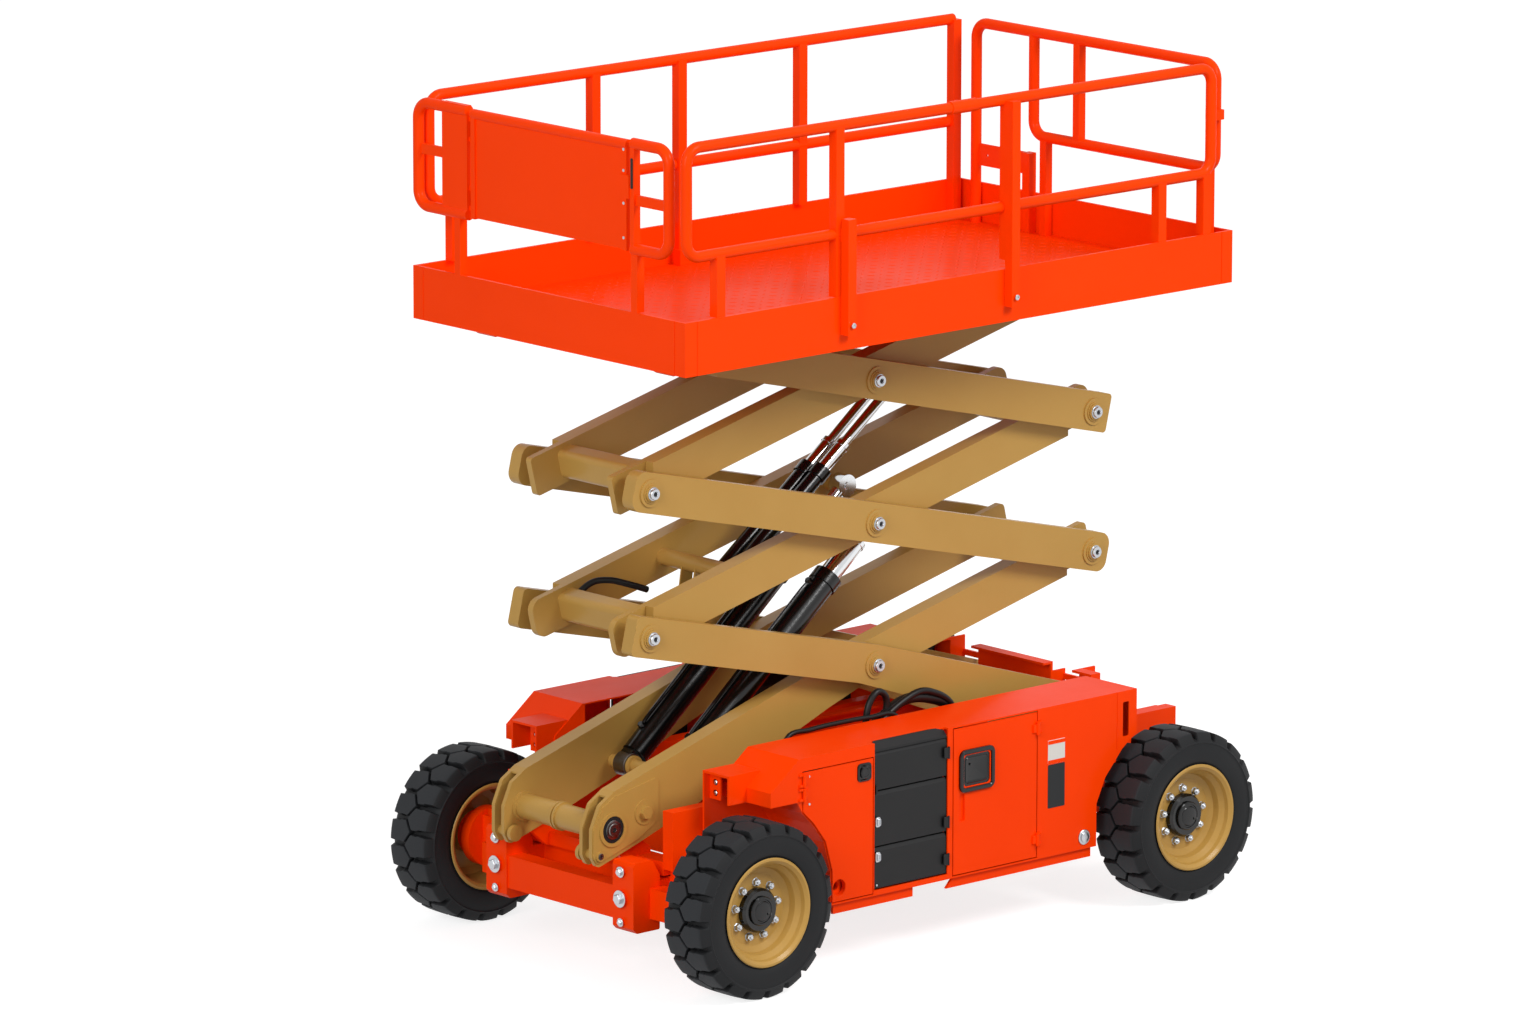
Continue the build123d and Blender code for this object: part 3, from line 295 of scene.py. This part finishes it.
def tyreSurface(s):
    # Rows run across the tyre and columns round it.
    # point = floor + height * (top - floor), height = row's share * share at that distance from a cross groove.
    # The blocks of the far half stand half a block on from those of the near half.
    # The middle groove swings: sideways += zigzag * wave * fade, where wave is -1 at the near half's
    # cross grooves and 1 at the far half's.
    # The cross grooves bend and open: distance round += (kink + widening) * fade.
    half = np.vstack([s["treadRows"], [(side, radius, side, radius, 0) for side, radius in s["wallRows"]]])
    rows = np.vstack([half[:0:-1] * [-1, 1, -1, 1, 1], half])
    floor, top, share = rows[:, :2], rows[:, 2:4], rows[:, 4:]
    side, aside = np.sign(rows[:, :1]), np.abs(rows[:, :1])
    pitch = 2 * np.pi * s["radius"] / s["blocks"]
    groove = np.array(s["grooveSide"])
    crest = 3  # the groove side's row at the block's top
    floorWidth, topWidth = groove[1, 0], groove[crest, 0]
    # columns of one half block, from its own groove's middle to the middle of the other half's groove
    part = np.concatenate([groove[:, 0], pitch / 2 - groove[crest::-1, 0]])
    column = np.concatenate([part, pitch - part[-2:0:-1]])
    around = (np.arange(s["blocks"])[:, None] * pitch + column).reshape(-1)
    # distance round the tyre from the nearest groove's middle, each half's own
    signed = ((around / pitch + np.where(side < 0, 0.0, 0.5) + 0.5) % 1 - 0.5) * pitch
    away = np.abs(signed)
    height = np.interp(away, groove[:, 0], groove[:, 1]) * share
    wave = 1 - 4 * np.abs((around / pitch) % 1 - 0.5)
    swing = s["zigzag"] * wave * np.clip(1 - aside / s["zigzagEnd"], 0, 1)
    kink = s["kink"] * side * np.clip((aside - s["kinkFrom"]) / s["kinkLength"], 0, 1)
    slant = np.minimum(away / floorWidth, (pitch / 2 - away) / (pitch / 2 - topWidth)).clip(0, 1)
    widening = (s["widening"] * np.clip((aside - s["wideningFrom"]) / s["wideningLength"], 0, 1)
                * np.sign(signed) * slant)
    fade = np.clip((floor[:, 1:] - s["wallRadius"]) / s["wallFade"], 0, 1)
    angle = (around + (kink + widening) * fade) / s["radius"]
    y = floor[:, :1] + height * (top[:, :1] - floor[:, :1]) + swing
    r = floor[:, 1:] + height * (top[:, 1:] - floor[:, 1:])
    return np.stack([r * np.cos(angle), y, r * np.sin(angle)], -1)


def treadRubber(name, colour, scuffedAndLit, s):
    # tyre rubber: dark and dull in the grooves and on the walls, greyer on the blocks' tops, partly from
    # scuffing where they meet the ground and partly as painted light on the tops.
    # the share of grey grows with the radius, measured from the nearer axle
    made = textured(name, colour, 0.66, 4.0, 0.6)
    tree = made.node_tree
    parts = addNode(tree, "ShaderNodeSeparateXYZ", Vector=objectPoint(tree))
    far = addNode(tree, "ShaderNodeMath", {"operation": "ABSOLUTE"}, i0=parts.outputs["X"])
    along = addNode(tree, "ShaderNodeMath", {"operation": "SUBTRACT"}, i0=far.outputs[0], i1=s["axle"])
    up = addNode(tree, "ShaderNodeMath", {"operation": "SUBTRACT"}, i0=parts.outputs["Z"], i1=s["radius"])
    spoke = addNode(tree, "ShaderNodeCombineXYZ", X=along.outputs[0], Z=up.outputs[0])
    reach = addNode(tree, "ShaderNodeVectorMath", {"operation": "LENGTH"}, i0=spoke.outputs[0])
    share = addNode(tree, "ShaderNodeMapRange", Value=reach.outputs["Value"],
                    From_Min=s["radius"] - s["scuffAndLightFrom"], From_Max=s["radius"] - s["scuffAndLightFull"])
    mix = addNode(tree, "ShaderNodeMix", {"data_type": "RGBA"}, i6=linear(colour), i7=linear(scuffedAndLit))
    tree.links.new(share.outputs["Result"], mix.inputs["Factor"])
    tree.links.new(mix.outputs[2], tree.nodes["Principled BSDF"].inputs["Base Color"])
    return made


def makeTyres(s):
    # the second colour is the greyer block tops: partly scuffing, partly painted light
    tread = treadRubber("tyreTreadRubber", "#111214", "#232528", s)
    surface = tyreSurface(s)
    for end in ("steer", "rear"):
        for side, turn in (("near", (1.0, 1.0, 1.0)), ("far", (-1.0, -1.0, 1.0))):
            node = f"tyre_{end}_{side}"
            middle = np.mean(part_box(node), axis=0)
            mesh = gridMesh(node, surface * np.array(turn) + middle)
            piece = place(f"treaded_{node}", mesh, f"wheel_{end}_{side}", tread, 32)
            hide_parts(node)


makeTyres(tyre)
print("tyres made")

# small fittings, all in mm
# a turned profile is rows of (radius, height over the face); a pressed one is rows of (growth, height)
alongX, upZ = (1, 0, 0), (0, 0, 1)
toNear, toSteerEnd = (0, -1, 0), (-1, 0, 0)


def unit(v):
    v = np.array(v, float)
    return v / np.linalg.norm(v)


def turned(profile, at, axis, sides=24, turn=0.0):
    # point = at + height * axis + radius * (cos t * across + sin t * axis x across)
    axis = unit(axis)
    across = unit(np.cross(upZ if abs(axis[2]) < 0.9 else alongX, axis))
    t = turn + np.arange(sides) * 2 * np.pi / sides
    ring = np.cos(t)[:, None] * across + np.sin(t)[:, None] * np.cross(axis, across)
    radius, height = np.array(profile, float).T
    return np.array(at, float) + height[:, None, None] * axis + radius[:, None, None] * ring


def pressed(profile, size, corner, at, across=alongX, per=5):
    # each row is a rounded rectangle, size wide and high, grown on every side, with `per` points a corner.
    # point = at + u * across + v * up + height * out,
    # where (u, v) = middle of the corner + (corner + growth) * (cos t, sin t)
    across, up = unit(across), np.array(upZ, float)
    growth, height = np.array(profile, float).T
    quarter = np.repeat(np.arange(4), per)
    t = np.tile(np.linspace(0, np.pi / 2, per), 4) + quarter * np.pi / 2
    reach = (corner + growth)[:, None]
    u = np.array([1, -1, -1, 1])[quarter] * (size[0] / 2 - corner) + reach * np.cos(t)
    v = np.array([1, 1, -1, -1])[quarter] * (size[1] / 2 - corner) + reach * np.sin(t)
    out = np.cross(across, up)
    return np.array(at, float) + u[..., None] * across + v[..., None] * up + height[:, None, None] * out


def hoseRun(points, radius, sides, steps):
    # a Catmull-Rom line through the points, and round each of its points a circle square to the line.
    # no hose runs straight across the machine, so the circles are set out from that direction
    p = np.array(points, float)
    p = np.vstack([2 * p[0] - p[1], p, 2 * p[-1] - p[-2]])
    t = (np.arange(steps) / steps)[None, :, None]
    a, b, c, d = (p[i:len(p) - 3 + i, None] for i in range(4))
    line = 0.5 * (2 * b + (c - a) * t + (2 * a - 5 * b + 4 * c - d) * t ** 2 + (3 * b - a - 3 * c + d) * t ** 3)
    line = np.vstack([line.reshape(-1, 3), p[-2:-1]])
    run = np.gradient(line, axis=0)
    run /= np.linalg.norm(run, axis=1, keepdims=True)
    side = np.cross(run, (0, 1, 0))
    side /= np.linalg.norm(side, axis=1, keepdims=True)
    over = np.cross(run, side)
    t = (np.arange(sides) * 2 * np.pi / sides)[:, None]
    return line[:, None] + radius * (np.cos(t) * side[:, None] + np.sin(t) * over[:, None])


def mirrored(shells):
    # the same shells on the other side of the machine, still facing outwards
    return [shell[:, ::-1] * np.array([1.0, -1.0, 1.0]) for shell in shells]


def fitting(name, shells, body, finish, sharp=30):
    # joins closed rings of points, in mm, into one mesh and fills each shell's first and last ring
    points, faces, start = [], [], 0
    for shell in shells:
        rows, columns = shell.shape[:2]
        index = np.arange(rows * columns).reshape(rows, columns) + start
        a, b = index[:-1], index[1:]
        faces += np.stack([a, np.roll(a, -1, 1), np.roll(b, -1, 1), b], -1).reshape(-1, 4).tolist()
        faces += [index[0, ::-1].tolist(), index[-1].tolist()]
        points.append(shell.reshape(-1, 3) / 1000)
        start += rows * columns
    return place(name, solidMesh(name, np.vstack(points), faces), body, finish, sharp)


wheelFit = {
    "axle": (1143, 345),  # from the machine's middle, over the ground
    "circle": 109,  # the nuts' radius
    "count": 9,
    "face": 849.5,
    "washer": [(17, 0), (17, 3), (16, 4)],
    "nut": [(15, 2), (15, 18), (12, 21)],
    "stud": [(7, 18), (7, 26), (5, 28)],
    "noseFace": 888.5,
    "nose": [(58, 0), (58, 5), (55, 8), (47, 9), (45, 6), (40, 6), (37, 9), (30, 10.5), (8, 11)],
    "plug": [(5, 10), (5, 13), (3.5, 14)],
    "plugAt": (26, -14),  # from the axle
}


def makeWheelNuts(s):
    # nuts stand on a circle, the first one on top
    angles = np.radians(90 + 360 / s["count"] * np.arange(s["count"]))
    z = s["axle"][1]
    for end, x in (("steer", -s["axle"][0]), ("rear", s["axle"][0])):
        for side, y in (("near", -1), ("far", 1)):
            out, nuts = (0, y, 0), []
            for a in angles:
                at = (x + s["circle"] * np.cos(a), y * s["face"], z + s["circle"] * np.sin(a))
                nuts += [turned(s["washer"], at, out, 16), turned(s["nut"], at, out, 6, a),
                         turned(s["stud"], at, out, 10)]
            fitting(f"wheel_nuts_{end}_{side}", nuts, f"wheel_{end}_{side}", zinc)
            plugAt = (x + s["plugAt"][0], y * s["noseFace"], z + s["plugAt"][1])
            nose = [turned(s["nose"], (x, y * s["noseFace"], z), out, 40), turned(s["plug"], plugAt, out, 10)]
            fitting(f"hub_nose_{end}_{side}", nose, f"wheel_{end}_{side}", glossBlack)


pinFit = {
    "places": {  # body: (along, up) of its pins
        "inner_1": [(-67, 1057), (1110.5, 1342)],
        "inner_2": [(-67, 1627), (-1244.5, 1342), (1110.5, 1912)],
        "inner_3": [(-67, 2197), (-1244.5, 1912)],
    },
    "face": 379,
    "head": [(27, 0), (27, 3.5), (26, 4.5), (23, 5), (23, 13), (21, 15.5), (11, 15.5), (9.5, 12)],
    # socket: a dark hexagon at the bottom of the head's recess, painted shade of the socket's hole
    "socket": [(9.6, 11), (9.6, 12.3)],
}


def makePins(s):
    # zinc head and washer on each end of the arms' pins, with a dark hexagon in the hexagon socket as painted
    # shade of its hole
    for body, places in s["places"].items():
        spots = [((x, y * s["face"], z), (0, y, 0)) for x, z in places for y in (-1, 1)]
        heads = [turned(s["head"], at, out, 28) for at, out in spots]
        socketShades = [turned(s["socket"], at, out, 6, 0.3) for at, out in spots]
        fitting(f"pin_heads_{body}", heads, body, zinc)
        fitting(f"pin_socket_shades_{body}", socketShades, body, castIron)


footFit = {
    "ringAt": (-1385, 301, 597),  # recessed bolt in the ring of the fixed foot
    "cup": [(52, 0), (52, 2.5), (38, 2.5)],
    "head": [(38, 2), (38, 5), (35, 6.5), (26, 7), (23, 10), (10, 10.5), (9, 8)],
    # socket and toe socket: dark hexagons in the heads' recesses, painted shade of the sockets' holes
    "socket": [(10, 7), (10, 8.6)],
    "toeAt": (-1452, 307, 502),  # end of the small pin below it
    "toeHead": [(13, 0), (13, 3), (11, 4), (6, 4), (5.5, 2)],
    "toeSocketShade": [(5.6, 1), (5.6, 2.4)],
}


def makeFootBolts(s):
    cups, heads, socketShades = [], [], []
    for y in (-1, 1):
        out = (0, y, 0)
        ring, toe = s["ringAt"] * np.array((1, y, 1)), s["toeAt"] * np.array((1, y, 1))
        cups.append(turned(s["cup"], ring, out, 40))
        heads += [turned(s["head"], ring, out, 36), turned(s["toeHead"], toe, out, 20)]
        # the sockets' dark hexagons are painted shade
        socketShades += [turned(s["socket"], ring, out, 6), turned(s["toeSocketShade"], toe, out, 6)]
    fitting("foot_bolt_cups", cups, "inner_1", castIron)
    fitting("foot_bolts", heads, "inner_1", darkSteel)
    fitting("foot_bolt_socket_shades", socketShades, "inner_1", castIron)


axleFit = {
    "aside": 370,
    # height, face, radius of the washer and of the head
    "bolts": [(446, -1407, 22, 15), (340, -1411, 34, 21), (246, -1407, 17, 11)],
}


def makeAxleBolts(s):
    bolts = []
    for y in (-s["aside"], s["aside"]):
        for z, x, washer, head in s["bolts"]:
            rim = [(washer, 0), (washer, 3.5), (washer - 1.5, 4.5)]
            hexagon = [(head, 4), (head, 4 + head * 0.6), (head - 3, 5 + head * 0.7)]
            bolts += [turned(rim, (x, y, z), toSteerEnd, 28), turned(hexagon, (x, y, z), toSteerEnd, 6, 0.2)]
    fitting("axle_block_bolts", bolts, "chassis", zinc)


boxFit = {
    "face": -780,  # the near box's skin
    "capAt": (673, 316),  # round cap at the rear lower corner
    "capRim": [(30.5, 0), (30.5, 4.5), (28, 6.5), (21, 6.5)],
    "capHead": [(20.5, 5), (20.5, 11), (17, 13), (6, 13.5)],
    "noseAt": (-1052.8, -530),  # bolts on the nose's end
    "noseHeights": (774, 732),
    "noseRim": [(13.2, 0), (13.2, 1)],
    "noseBolt": [(8.5, 0.5), (8.5, 6), (6.5, 7.5)],
    "ventProud": 2,  # of the vent cover's skin
    "latchHeights": (560, 420),  # draw latches of the vent cover
    "latchX": -440,
    "latchPlate": ([(0, 0), (0, 3), (-1, 4)], (24, 40), 8),  # profile, size, corner
    "latchLever": ([(0, 3), (0, 9), (-2, 11), (-5, 11), (-6, 8)], (16, 30), 6),
    "leverShift": 2,
    "hingeHeights": (778, 500, 350),
    "hingeX": -78,
    "hingeLeaf": ([(0, 0), (0, 4), (-2, 6)], (26, 44), 6),
    "hingePin": [(4.5, -24), (4.5, 24)],
    "hingePinAt": (12, 6),  # from the leaf along, from the skin out
    "screwAt": (-440, -776, 306),
    "screw": [(4, 0), (4, 3), (2.5, 4)],
    "plateX": 520,
    "plate": [(0, 0), (0, 1.2), (-0.6, 1.6)],
    "plateWidth": 92,
    "palePlate": (690, 96),  # height of its middle, its own height
    "darkPlate": (551, 176),
    "stripes": (728.5, 650),
    "stripe": ([(0, 0), (0, 0.5)], 15, 3),  # profile, height, corner
}


def makeBoxFittings(s):
    face, proud = s["face"], s["face"] - s["ventProud"]
    capAt = (s["capAt"][0], face, s["capAt"][1])
    bright, black = [turned(s["capRim"], capAt, toNear, 32), turned(s["capHead"], capAt, toNear, 28)], []
    for z in s["noseHeights"]:
        black.append(turned(s["noseRim"], (*s["noseAt"], z), toSteerEnd, 18))
        bright.append(turned(s["noseBolt"], (*s["noseAt"], z), toSteerEnd, 6))
    for z in s["latchHeights"]:
        bright.append(pressed(*s["latchPlate"], (s["latchX"], proud, z)))
        bright.append(pressed(*s["latchLever"], (s["latchX"] + s["leverShift"], proud, z)))
    pinX, pinY = s["hingeX"] + s["hingePinAt"][0], face - s["hingePinAt"][1]
    for z in s["hingeHeights"]:
        black.append(pressed(*s["hingeLeaf"], (s["hingeX"], proud, z)))
        black.append(turned(s["hingePin"], (pinX, pinY, z), upZ, 12))
    bright.append(turned(s["screw"], s["screwAt"], toNear, 10))
    fitting("box_bolts", bright + mirrored(bright), "chassis", zinc)
    fitting("box_latch_blacks", black + mirrored(black), "chassis", blackPlastic)


def makeBlankPlates(s):
    # plain cards on the near box, half a millimetre into its skin, and two stripes over the pale one's ends
    def card(z, height):
        return [pressed(s["plate"], (s["plateWidth"], height), 4, (s["plateX"], s["face"] + 0.5, z), per=3)]

    profile, height, corner = s["stripe"]
    stripes = [pressed(profile, (s["plateWidth"], height), corner, (s["plateX"], s["face"] - 1.0, z), per=3)
               for z in s["stripes"]]
    fitting("blank_plate_pale", card(*s["palePlate"]), "chassis", paleVinyl)
    fitting("blank_plate_dark", card(*s["darkPlate"]), "chassis", darkVinyl)
    fitting("blank_plate_stripes", stripes, "chassis", orange)


doorFit = {
    # push latch of the steer-end door: a square frame round a turned button
    "pushAt": (-511, -781, 771),
    "pushFrame": ([(0, -1), (0, 3), (-3, 6), (-7, 6.5), (-10, 3.5), (-12, 3.5)], (72, 73), 16),
    "pushButton": [(25, 3), (25, 9), (22, 12), (17, 12.5), (15, 10), (6, 9.5)],
    # paddle latch of the rear-end door, in its recess
    "rimAt": (86, -782, 688.5),
    "rim": ([(0, -1), (0, 7), (-4, 11), (-14, 11), (-18, 8), (-20, -2.5)], (186, 171), 28),
    "paddleAt": (86, -777, 688.5),
    "paddle": ([(0, 1), (0, 5), (-3, 7), (-12, 5)], (120, 106), 14),
    "lockAt": (52, -777, 712),
    "lock": [(5, 5), (5, 8.5), (3.5, 9)],
    "screwsAt": [(-800, -780, 800), (-798, -780, 690)],
    "screw": [(5, 0), (5, 2.2), (3.5, 3)],
}


def makeDoorFittings(s):
    push = [pressed(*s["pushFrame"], s["pushAt"]), turned(s["pushButton"], s["pushAt"], toNear, 36)]
    paddle = [pressed(*s["rim"], s["rimAt"], per=7), pressed(*s["paddle"], s["paddleAt"]),
              turned(s["lock"], s["lockAt"], toNear, 12)]
    screws = [turned(s["screw"], at, toNear, 12) for at in s["screwsAt"]]
    for side, turnOver in (("near", list), ("far", mirrored)):
        front, rear = f"front_door_{side}", f"rear_door_{side}"
        fitting(f"steer_end_door_{side}_latch", turnOver(push), front, glossBlack)
        fitting(f"rear_end_door_{side}_latch", turnOver(paddle), rear, glossBlack)
        fitting(f"steer_end_door_{side}_screws", turnOver(screws), front, zinc)


platformFit = {
    "socketBoltsAt": [(-631, -843, 2556), (230, -843, 2556)],
    "socketBolt": [(11, -2), (11, 3), (9, 5), (5, 5), (4.5, 2)],
    "sleeveAt": (0, -772, 3325),  # joint of the near top rail
    "sleeve": [(19.5, -70), (26, -68), (26, 68), (19.5, 70)],
    "gateScrewsAt": [(-1452, -447, z) for z in (3285, 3204, 3078, 2945)],
    "gateScrew": [(6, -1), (6, 2), (4, 3)],
    "slotShadeAt": (-1454, -496, 3198),  # the gate latch's slot in its post, drawn as a black strip standing out from the post: painted shade of the slot's opening
    "slot": ([(0, -1), (0, 2), (-2, 3), (-4, 1.5)], (13, 118), 6),
}


def makePlatformFittings(s):
    bolts = [turned(s["socketBolt"], at, toNear, 18) for at in s["socketBoltsAt"]]
    screws = [turned(s["gateScrew"], at, toSteerEnd, 12) for at in s["gateScrewsAt"]]
    fitting("rail_socket_bolts", bolts, "platform", zinc)
    sleeve = [turned(s["sleeve"], s["sleeveAt"], alongX, 32)]
    slot = [pressed(*s["slot"], s["slotShadeAt"], toNear)]
    fitting("top_rail_sleeve", sleeve, "platform", orange)
    fitting("gate_screws", screws, "gate_body", zinc)
    # black strip over the slot: painted shade of its opening
    fitting("gate_latch_slot_shade", slot, "platform", blackPlastic)


deckPlate = {
    "pitch": 52.0,
    "length": 40.0,
    "width": 13.0,
    "rise": 1.9,
    "crown": 0.55,  # a lug's top ring over its foot ring
    "corners": 8,  # points in a ring
    "top": 2506.0,  # the deck's surface
    "sunk": 1.0,  # how far a lug reaches into it
    "x": (-1372, 1362),
    "y": (-722, 692),
}


def makeDeckLugs(s):
    # anti-slip plate: lens-shaped lugs in rows, every second one turned by a right angle.
    # ring = (half length * cos t, half width * sin t), turned by +-45 degrees.
    # three rings a lug: its sunk foot, its edge on the deck and its crown
    (west, east), (south, north) = s["x"], s["y"]
    i, j = np.meshgrid(np.arange(int((east - west) / s["pitch"]) + 1),
                       np.arange(int((north - south) / s["pitch"]) + 1), indexing="ij")
    middles = np.stack([west + s["pitch"] * i, south + s["pitch"] * j], -1).reshape(-1, 1, 2)
    turn = np.where((i + j) % 2 == 0, np.pi / 4, -np.pi / 4).reshape(-1)
    t = np.arange(s["corners"]) * 2 * np.pi / s["corners"]
    ring = np.stack([s["length"] / 2 * np.cos(t), s["width"] / 2 * np.sin(t)], -1)
    cos, sin = np.cos(turn), np.sin(turn)
    spin = np.stack([np.stack([cos, -sin], -1), np.stack([sin, cos], -1)], -2)
    flat = np.einsum("nij,kj->nki", spin, ring)
    levels = []
    for share, z in ((1.0, s["top"] - s["sunk"]), (1.0, s["top"]), (s["crown"], s["top"] + s["rise"])):
        level = flat * share + middles
        levels.append(np.concatenate([level, np.full(level.shape[:2] + (1,), z)], -1))
    points = np.stack(levels, 1)  # lugs x levels x corners x 3
    index = np.arange(points.size // 3).reshape(points.shape[:3])
    a, b = index[:, :-1], index[:, 1:]
    sides = np.stack([a, np.roll(a, -1, 2), np.roll(b, -1, 2), b], -1).reshape(-1, 4)
    faces = sides.tolist() + index[:, 0, ::-1].tolist() + index[:, -1].tolist()
    place("deck_lugs", solidMesh("deck_lugs", points / 1000, faces), "platform", orange, 50)


hoses = {
    # name: (body, radius, points); both ends are hidden inside the machine
    "cross_hose_2": ("inner_2", 13, [
        (-1190, 196, 1362), (-1080, 186, 1440), (-1010, 150, 1452), (-940, 110, 1432), (-860, 92, 1402)]),
    "floor_hose_loop": ("chassis", 14, [
        (-250, -444, 680), (-200, -444, 830), (-180, -446, 925), (-135, -448, 974), (-88, -448, 940),
        (-96, -446, 850), (-150, -444, 700)]),
    "floor_hose_main": ("chassis", 22, [
        (-330, -450, 680), (-200, -450, 810), (-81, -450, 884), (10, -450, 920), (128, -450, 910),
        (250, -450, 850), (330, -450, 680)]),
    "floor_hose_side": ("chassis", 14, [
        (-300, -466, 680), (-140, -466, 850), (40, -466, 940), (150, -466, 930), (250, -466, 860),
        (290, -466, 690)]),
    "box_edge_hose": ("chassis", 10, [
        (-700, -474, 680), (-640, -474, 868), (-511, -474, 886), (-353, -474, 890), (-200, -474, 886),
        (-60, -474, 870), (10, -474, 700)]),
    "rear_hose": ("chassis", 20, [
        (950, 446, 680), (975, 446, 800), (1005, 446, 880), (1042, 446, 908), (1080, 446, 885),
        (1105, 446, 800), (1112, 446, 680)]),
    "front_hose_upper": ("chassis", 10, [
        (-1130, -417, 470), (-1060, -417, 560), (-960, -417, 590), (-860, -417, 560), (-760, -417, 520),
        (-690, -417, 480)]),
    "front_hose_lower": ("chassis", 10, [
        (-1120, -417, 450), (-1040, -417, 520), (-950, -417, 545), (-860, -417, 510), (-780, -417, 470),
        (-710, -417, 450)]),
}


def makeHoses(s):
    for name, (body, radius, points) in s.items():
        fitting(name, [hoseRun(points, radius, 12, 7)], body, hoseRubber, None)


cylinderFit = {
    "foot": (-925, 0, 705),  # eye of the lower cylinders' feet
    "head": (215, 0, 1660),  # a point on their line
    "aside": 138,
    "sleeve": [(46.2, -33), (48.5, -31), (48.5, 31), (46.2, 33)],
    # along from the eye, off the cylinder's line
    "pipe": [(150, 50), (170, 64), (300, 66), (800, 66), (950, 64), (975, 50)],
    "pipeRadius": 8,
    "union": [(14, 0), (14, 22), (11, 25)],  # nut at each end of the pipe
}


def makeCylinderTrim(s):
    # steel sleeve round each lower cylinder's foot eye, and the oil pipe over its barrel
    run = unit(np.subtract(s["head"], s["foot"]))
    over = np.array((-run[2], 0, run[0]))
    sleeves, pipes = [], []
    for y in (-s["aside"], s["aside"]):
        at = np.add(s["foot"], (0, y, 0))
        line = [at + run * along + over * off for along, off in s["pipe"]]
        sleeves.append(turned(s["sleeve"], at, (0, 1, 0), 36))
        pipes += [hoseRun(line, s["pipeRadius"], 10, 6),
                  turned(s["union"], line[0], over, 6), turned(s["union"], line[-1], over, 6)]
    fitting("cylinder_foot_sleeves", sleeves, "lower_barrels", darkSteel)
    fitting("cylinder_pipes", pipes, "lower_barrels", glossBlack)


makeWheelNuts(wheelFit)
makePins(pinFit)
makeFootBolts(footFit)
makeAxleBolts(axleFit)
makeBoxFittings(boxFit)
makeBlankPlates(boxFit)
makeDoorFittings(doorFit)
makePlatformFittings(platformFit)
makeDeckLugs(deckPlate)
makeHoses(hoses)
makeCylinderTrim(cylinderFit)
print("fittings made")

# floor and light
studio = {
    "floorSize": 200.0,
    "floorColour": "#A8A8A8",
    "floorGlow": 0.8,  # lifts the floor to white for the camera, shadow kept
    "skyStrength": 0.44,
    "aim": (0, 0, 1.4),
    "lampSize": 6.0,
    "lamps": {  # place, W
        "keyLight": ((2.5, -11.0, 11.0), 1380.0),  # from the camera's right
        "fillLight": ((-11.0, -4.0, 6.0), 640.0),  # from the gate's end
    },
}


def seenStraight(tree):
    # 1 for camera rays, mirror rays and rays through glass
    path = addNode(tree, "ShaderNodeLightPath").outputs
    seen = path["Is Camera Ray"]
    for other in ("Is Glossy Ray", "Is Transmission Ray"):
        seen = addNode(tree, "ShaderNodeMath", {"operation": "MAXIMUM"}, i0=seen, i1=path[other]).outputs[0]
    return seen


def makeFloor(s):
    half = s["floorSize"] / 2
    corners = [(-half, -half, 0), (half, -half, 0), (half, half, 0), (-half, half, 0)]
    mesh = bpy.data.meshes.new("floor")
    mesh.from_pydata(corners, [], [(0, 1, 2, 3)])
    floor = bpy.data.objects.new("floor", mesh)
    bpy.context.scene.collection.objects.link(floor)
    made, tree, shader = newMaterial("whiteStudioFloor", s["floorColour"], 0.9)
    glow = addNode(tree, "ShaderNodeMath", {"operation": "MULTIPLY"}, i0=seenStraight(tree), i1=s["floorGlow"])
    tree.links.new(glow.outputs[0], shader.inputs["Emission Strength"])
    shader.inputs["Emission Color"].default_value = (1, 1, 1, 1)
    mesh.materials.append(made)


def makeWorld(s):
    world = bpy.data.worlds.new("studio")
    bpy.context.scene.world = world
    world.use_nodes = True
    tree = world.node_tree
    tree.nodes.clear()
    plain = addNode(tree, "ShaderNodeBackground", Color=linear("#FFFFFF"), Strength=s["skyStrength"])
    white = addNode(tree, "ShaderNodeBackground", Color=linear("#FFFFFF"), Strength=1.0)
    mix = addNode(tree, "ShaderNodeMixShader", i0=seenStraight(tree), i1=plain.outputs[0], i2=white.outputs[0])
    addNode(tree, "ShaderNodeOutputWorld", Surface=mix.outputs[0])


def makeLamps(s):
    for name, (at, power) in s["lamps"].items():
        data = bpy.data.lights.new(name, "AREA")
        data.shape, data.size, data.energy = "DISK", s["lampSize"], power
        lamp = bpy.data.objects.new(name, data)
        lamp.location = at
        lamp.rotation_euler = (Vector(s["aim"]) - Vector(at)).to_track_quat("-Z", "Y").to_euler()
        bpy.context.scene.collection.objects.link(lamp)


makeFloor(studio)
makeWorld(studio)
makeLamps(studio)
bpy.context.scene.view_settings.view_transform = "Standard"
print("stage set")
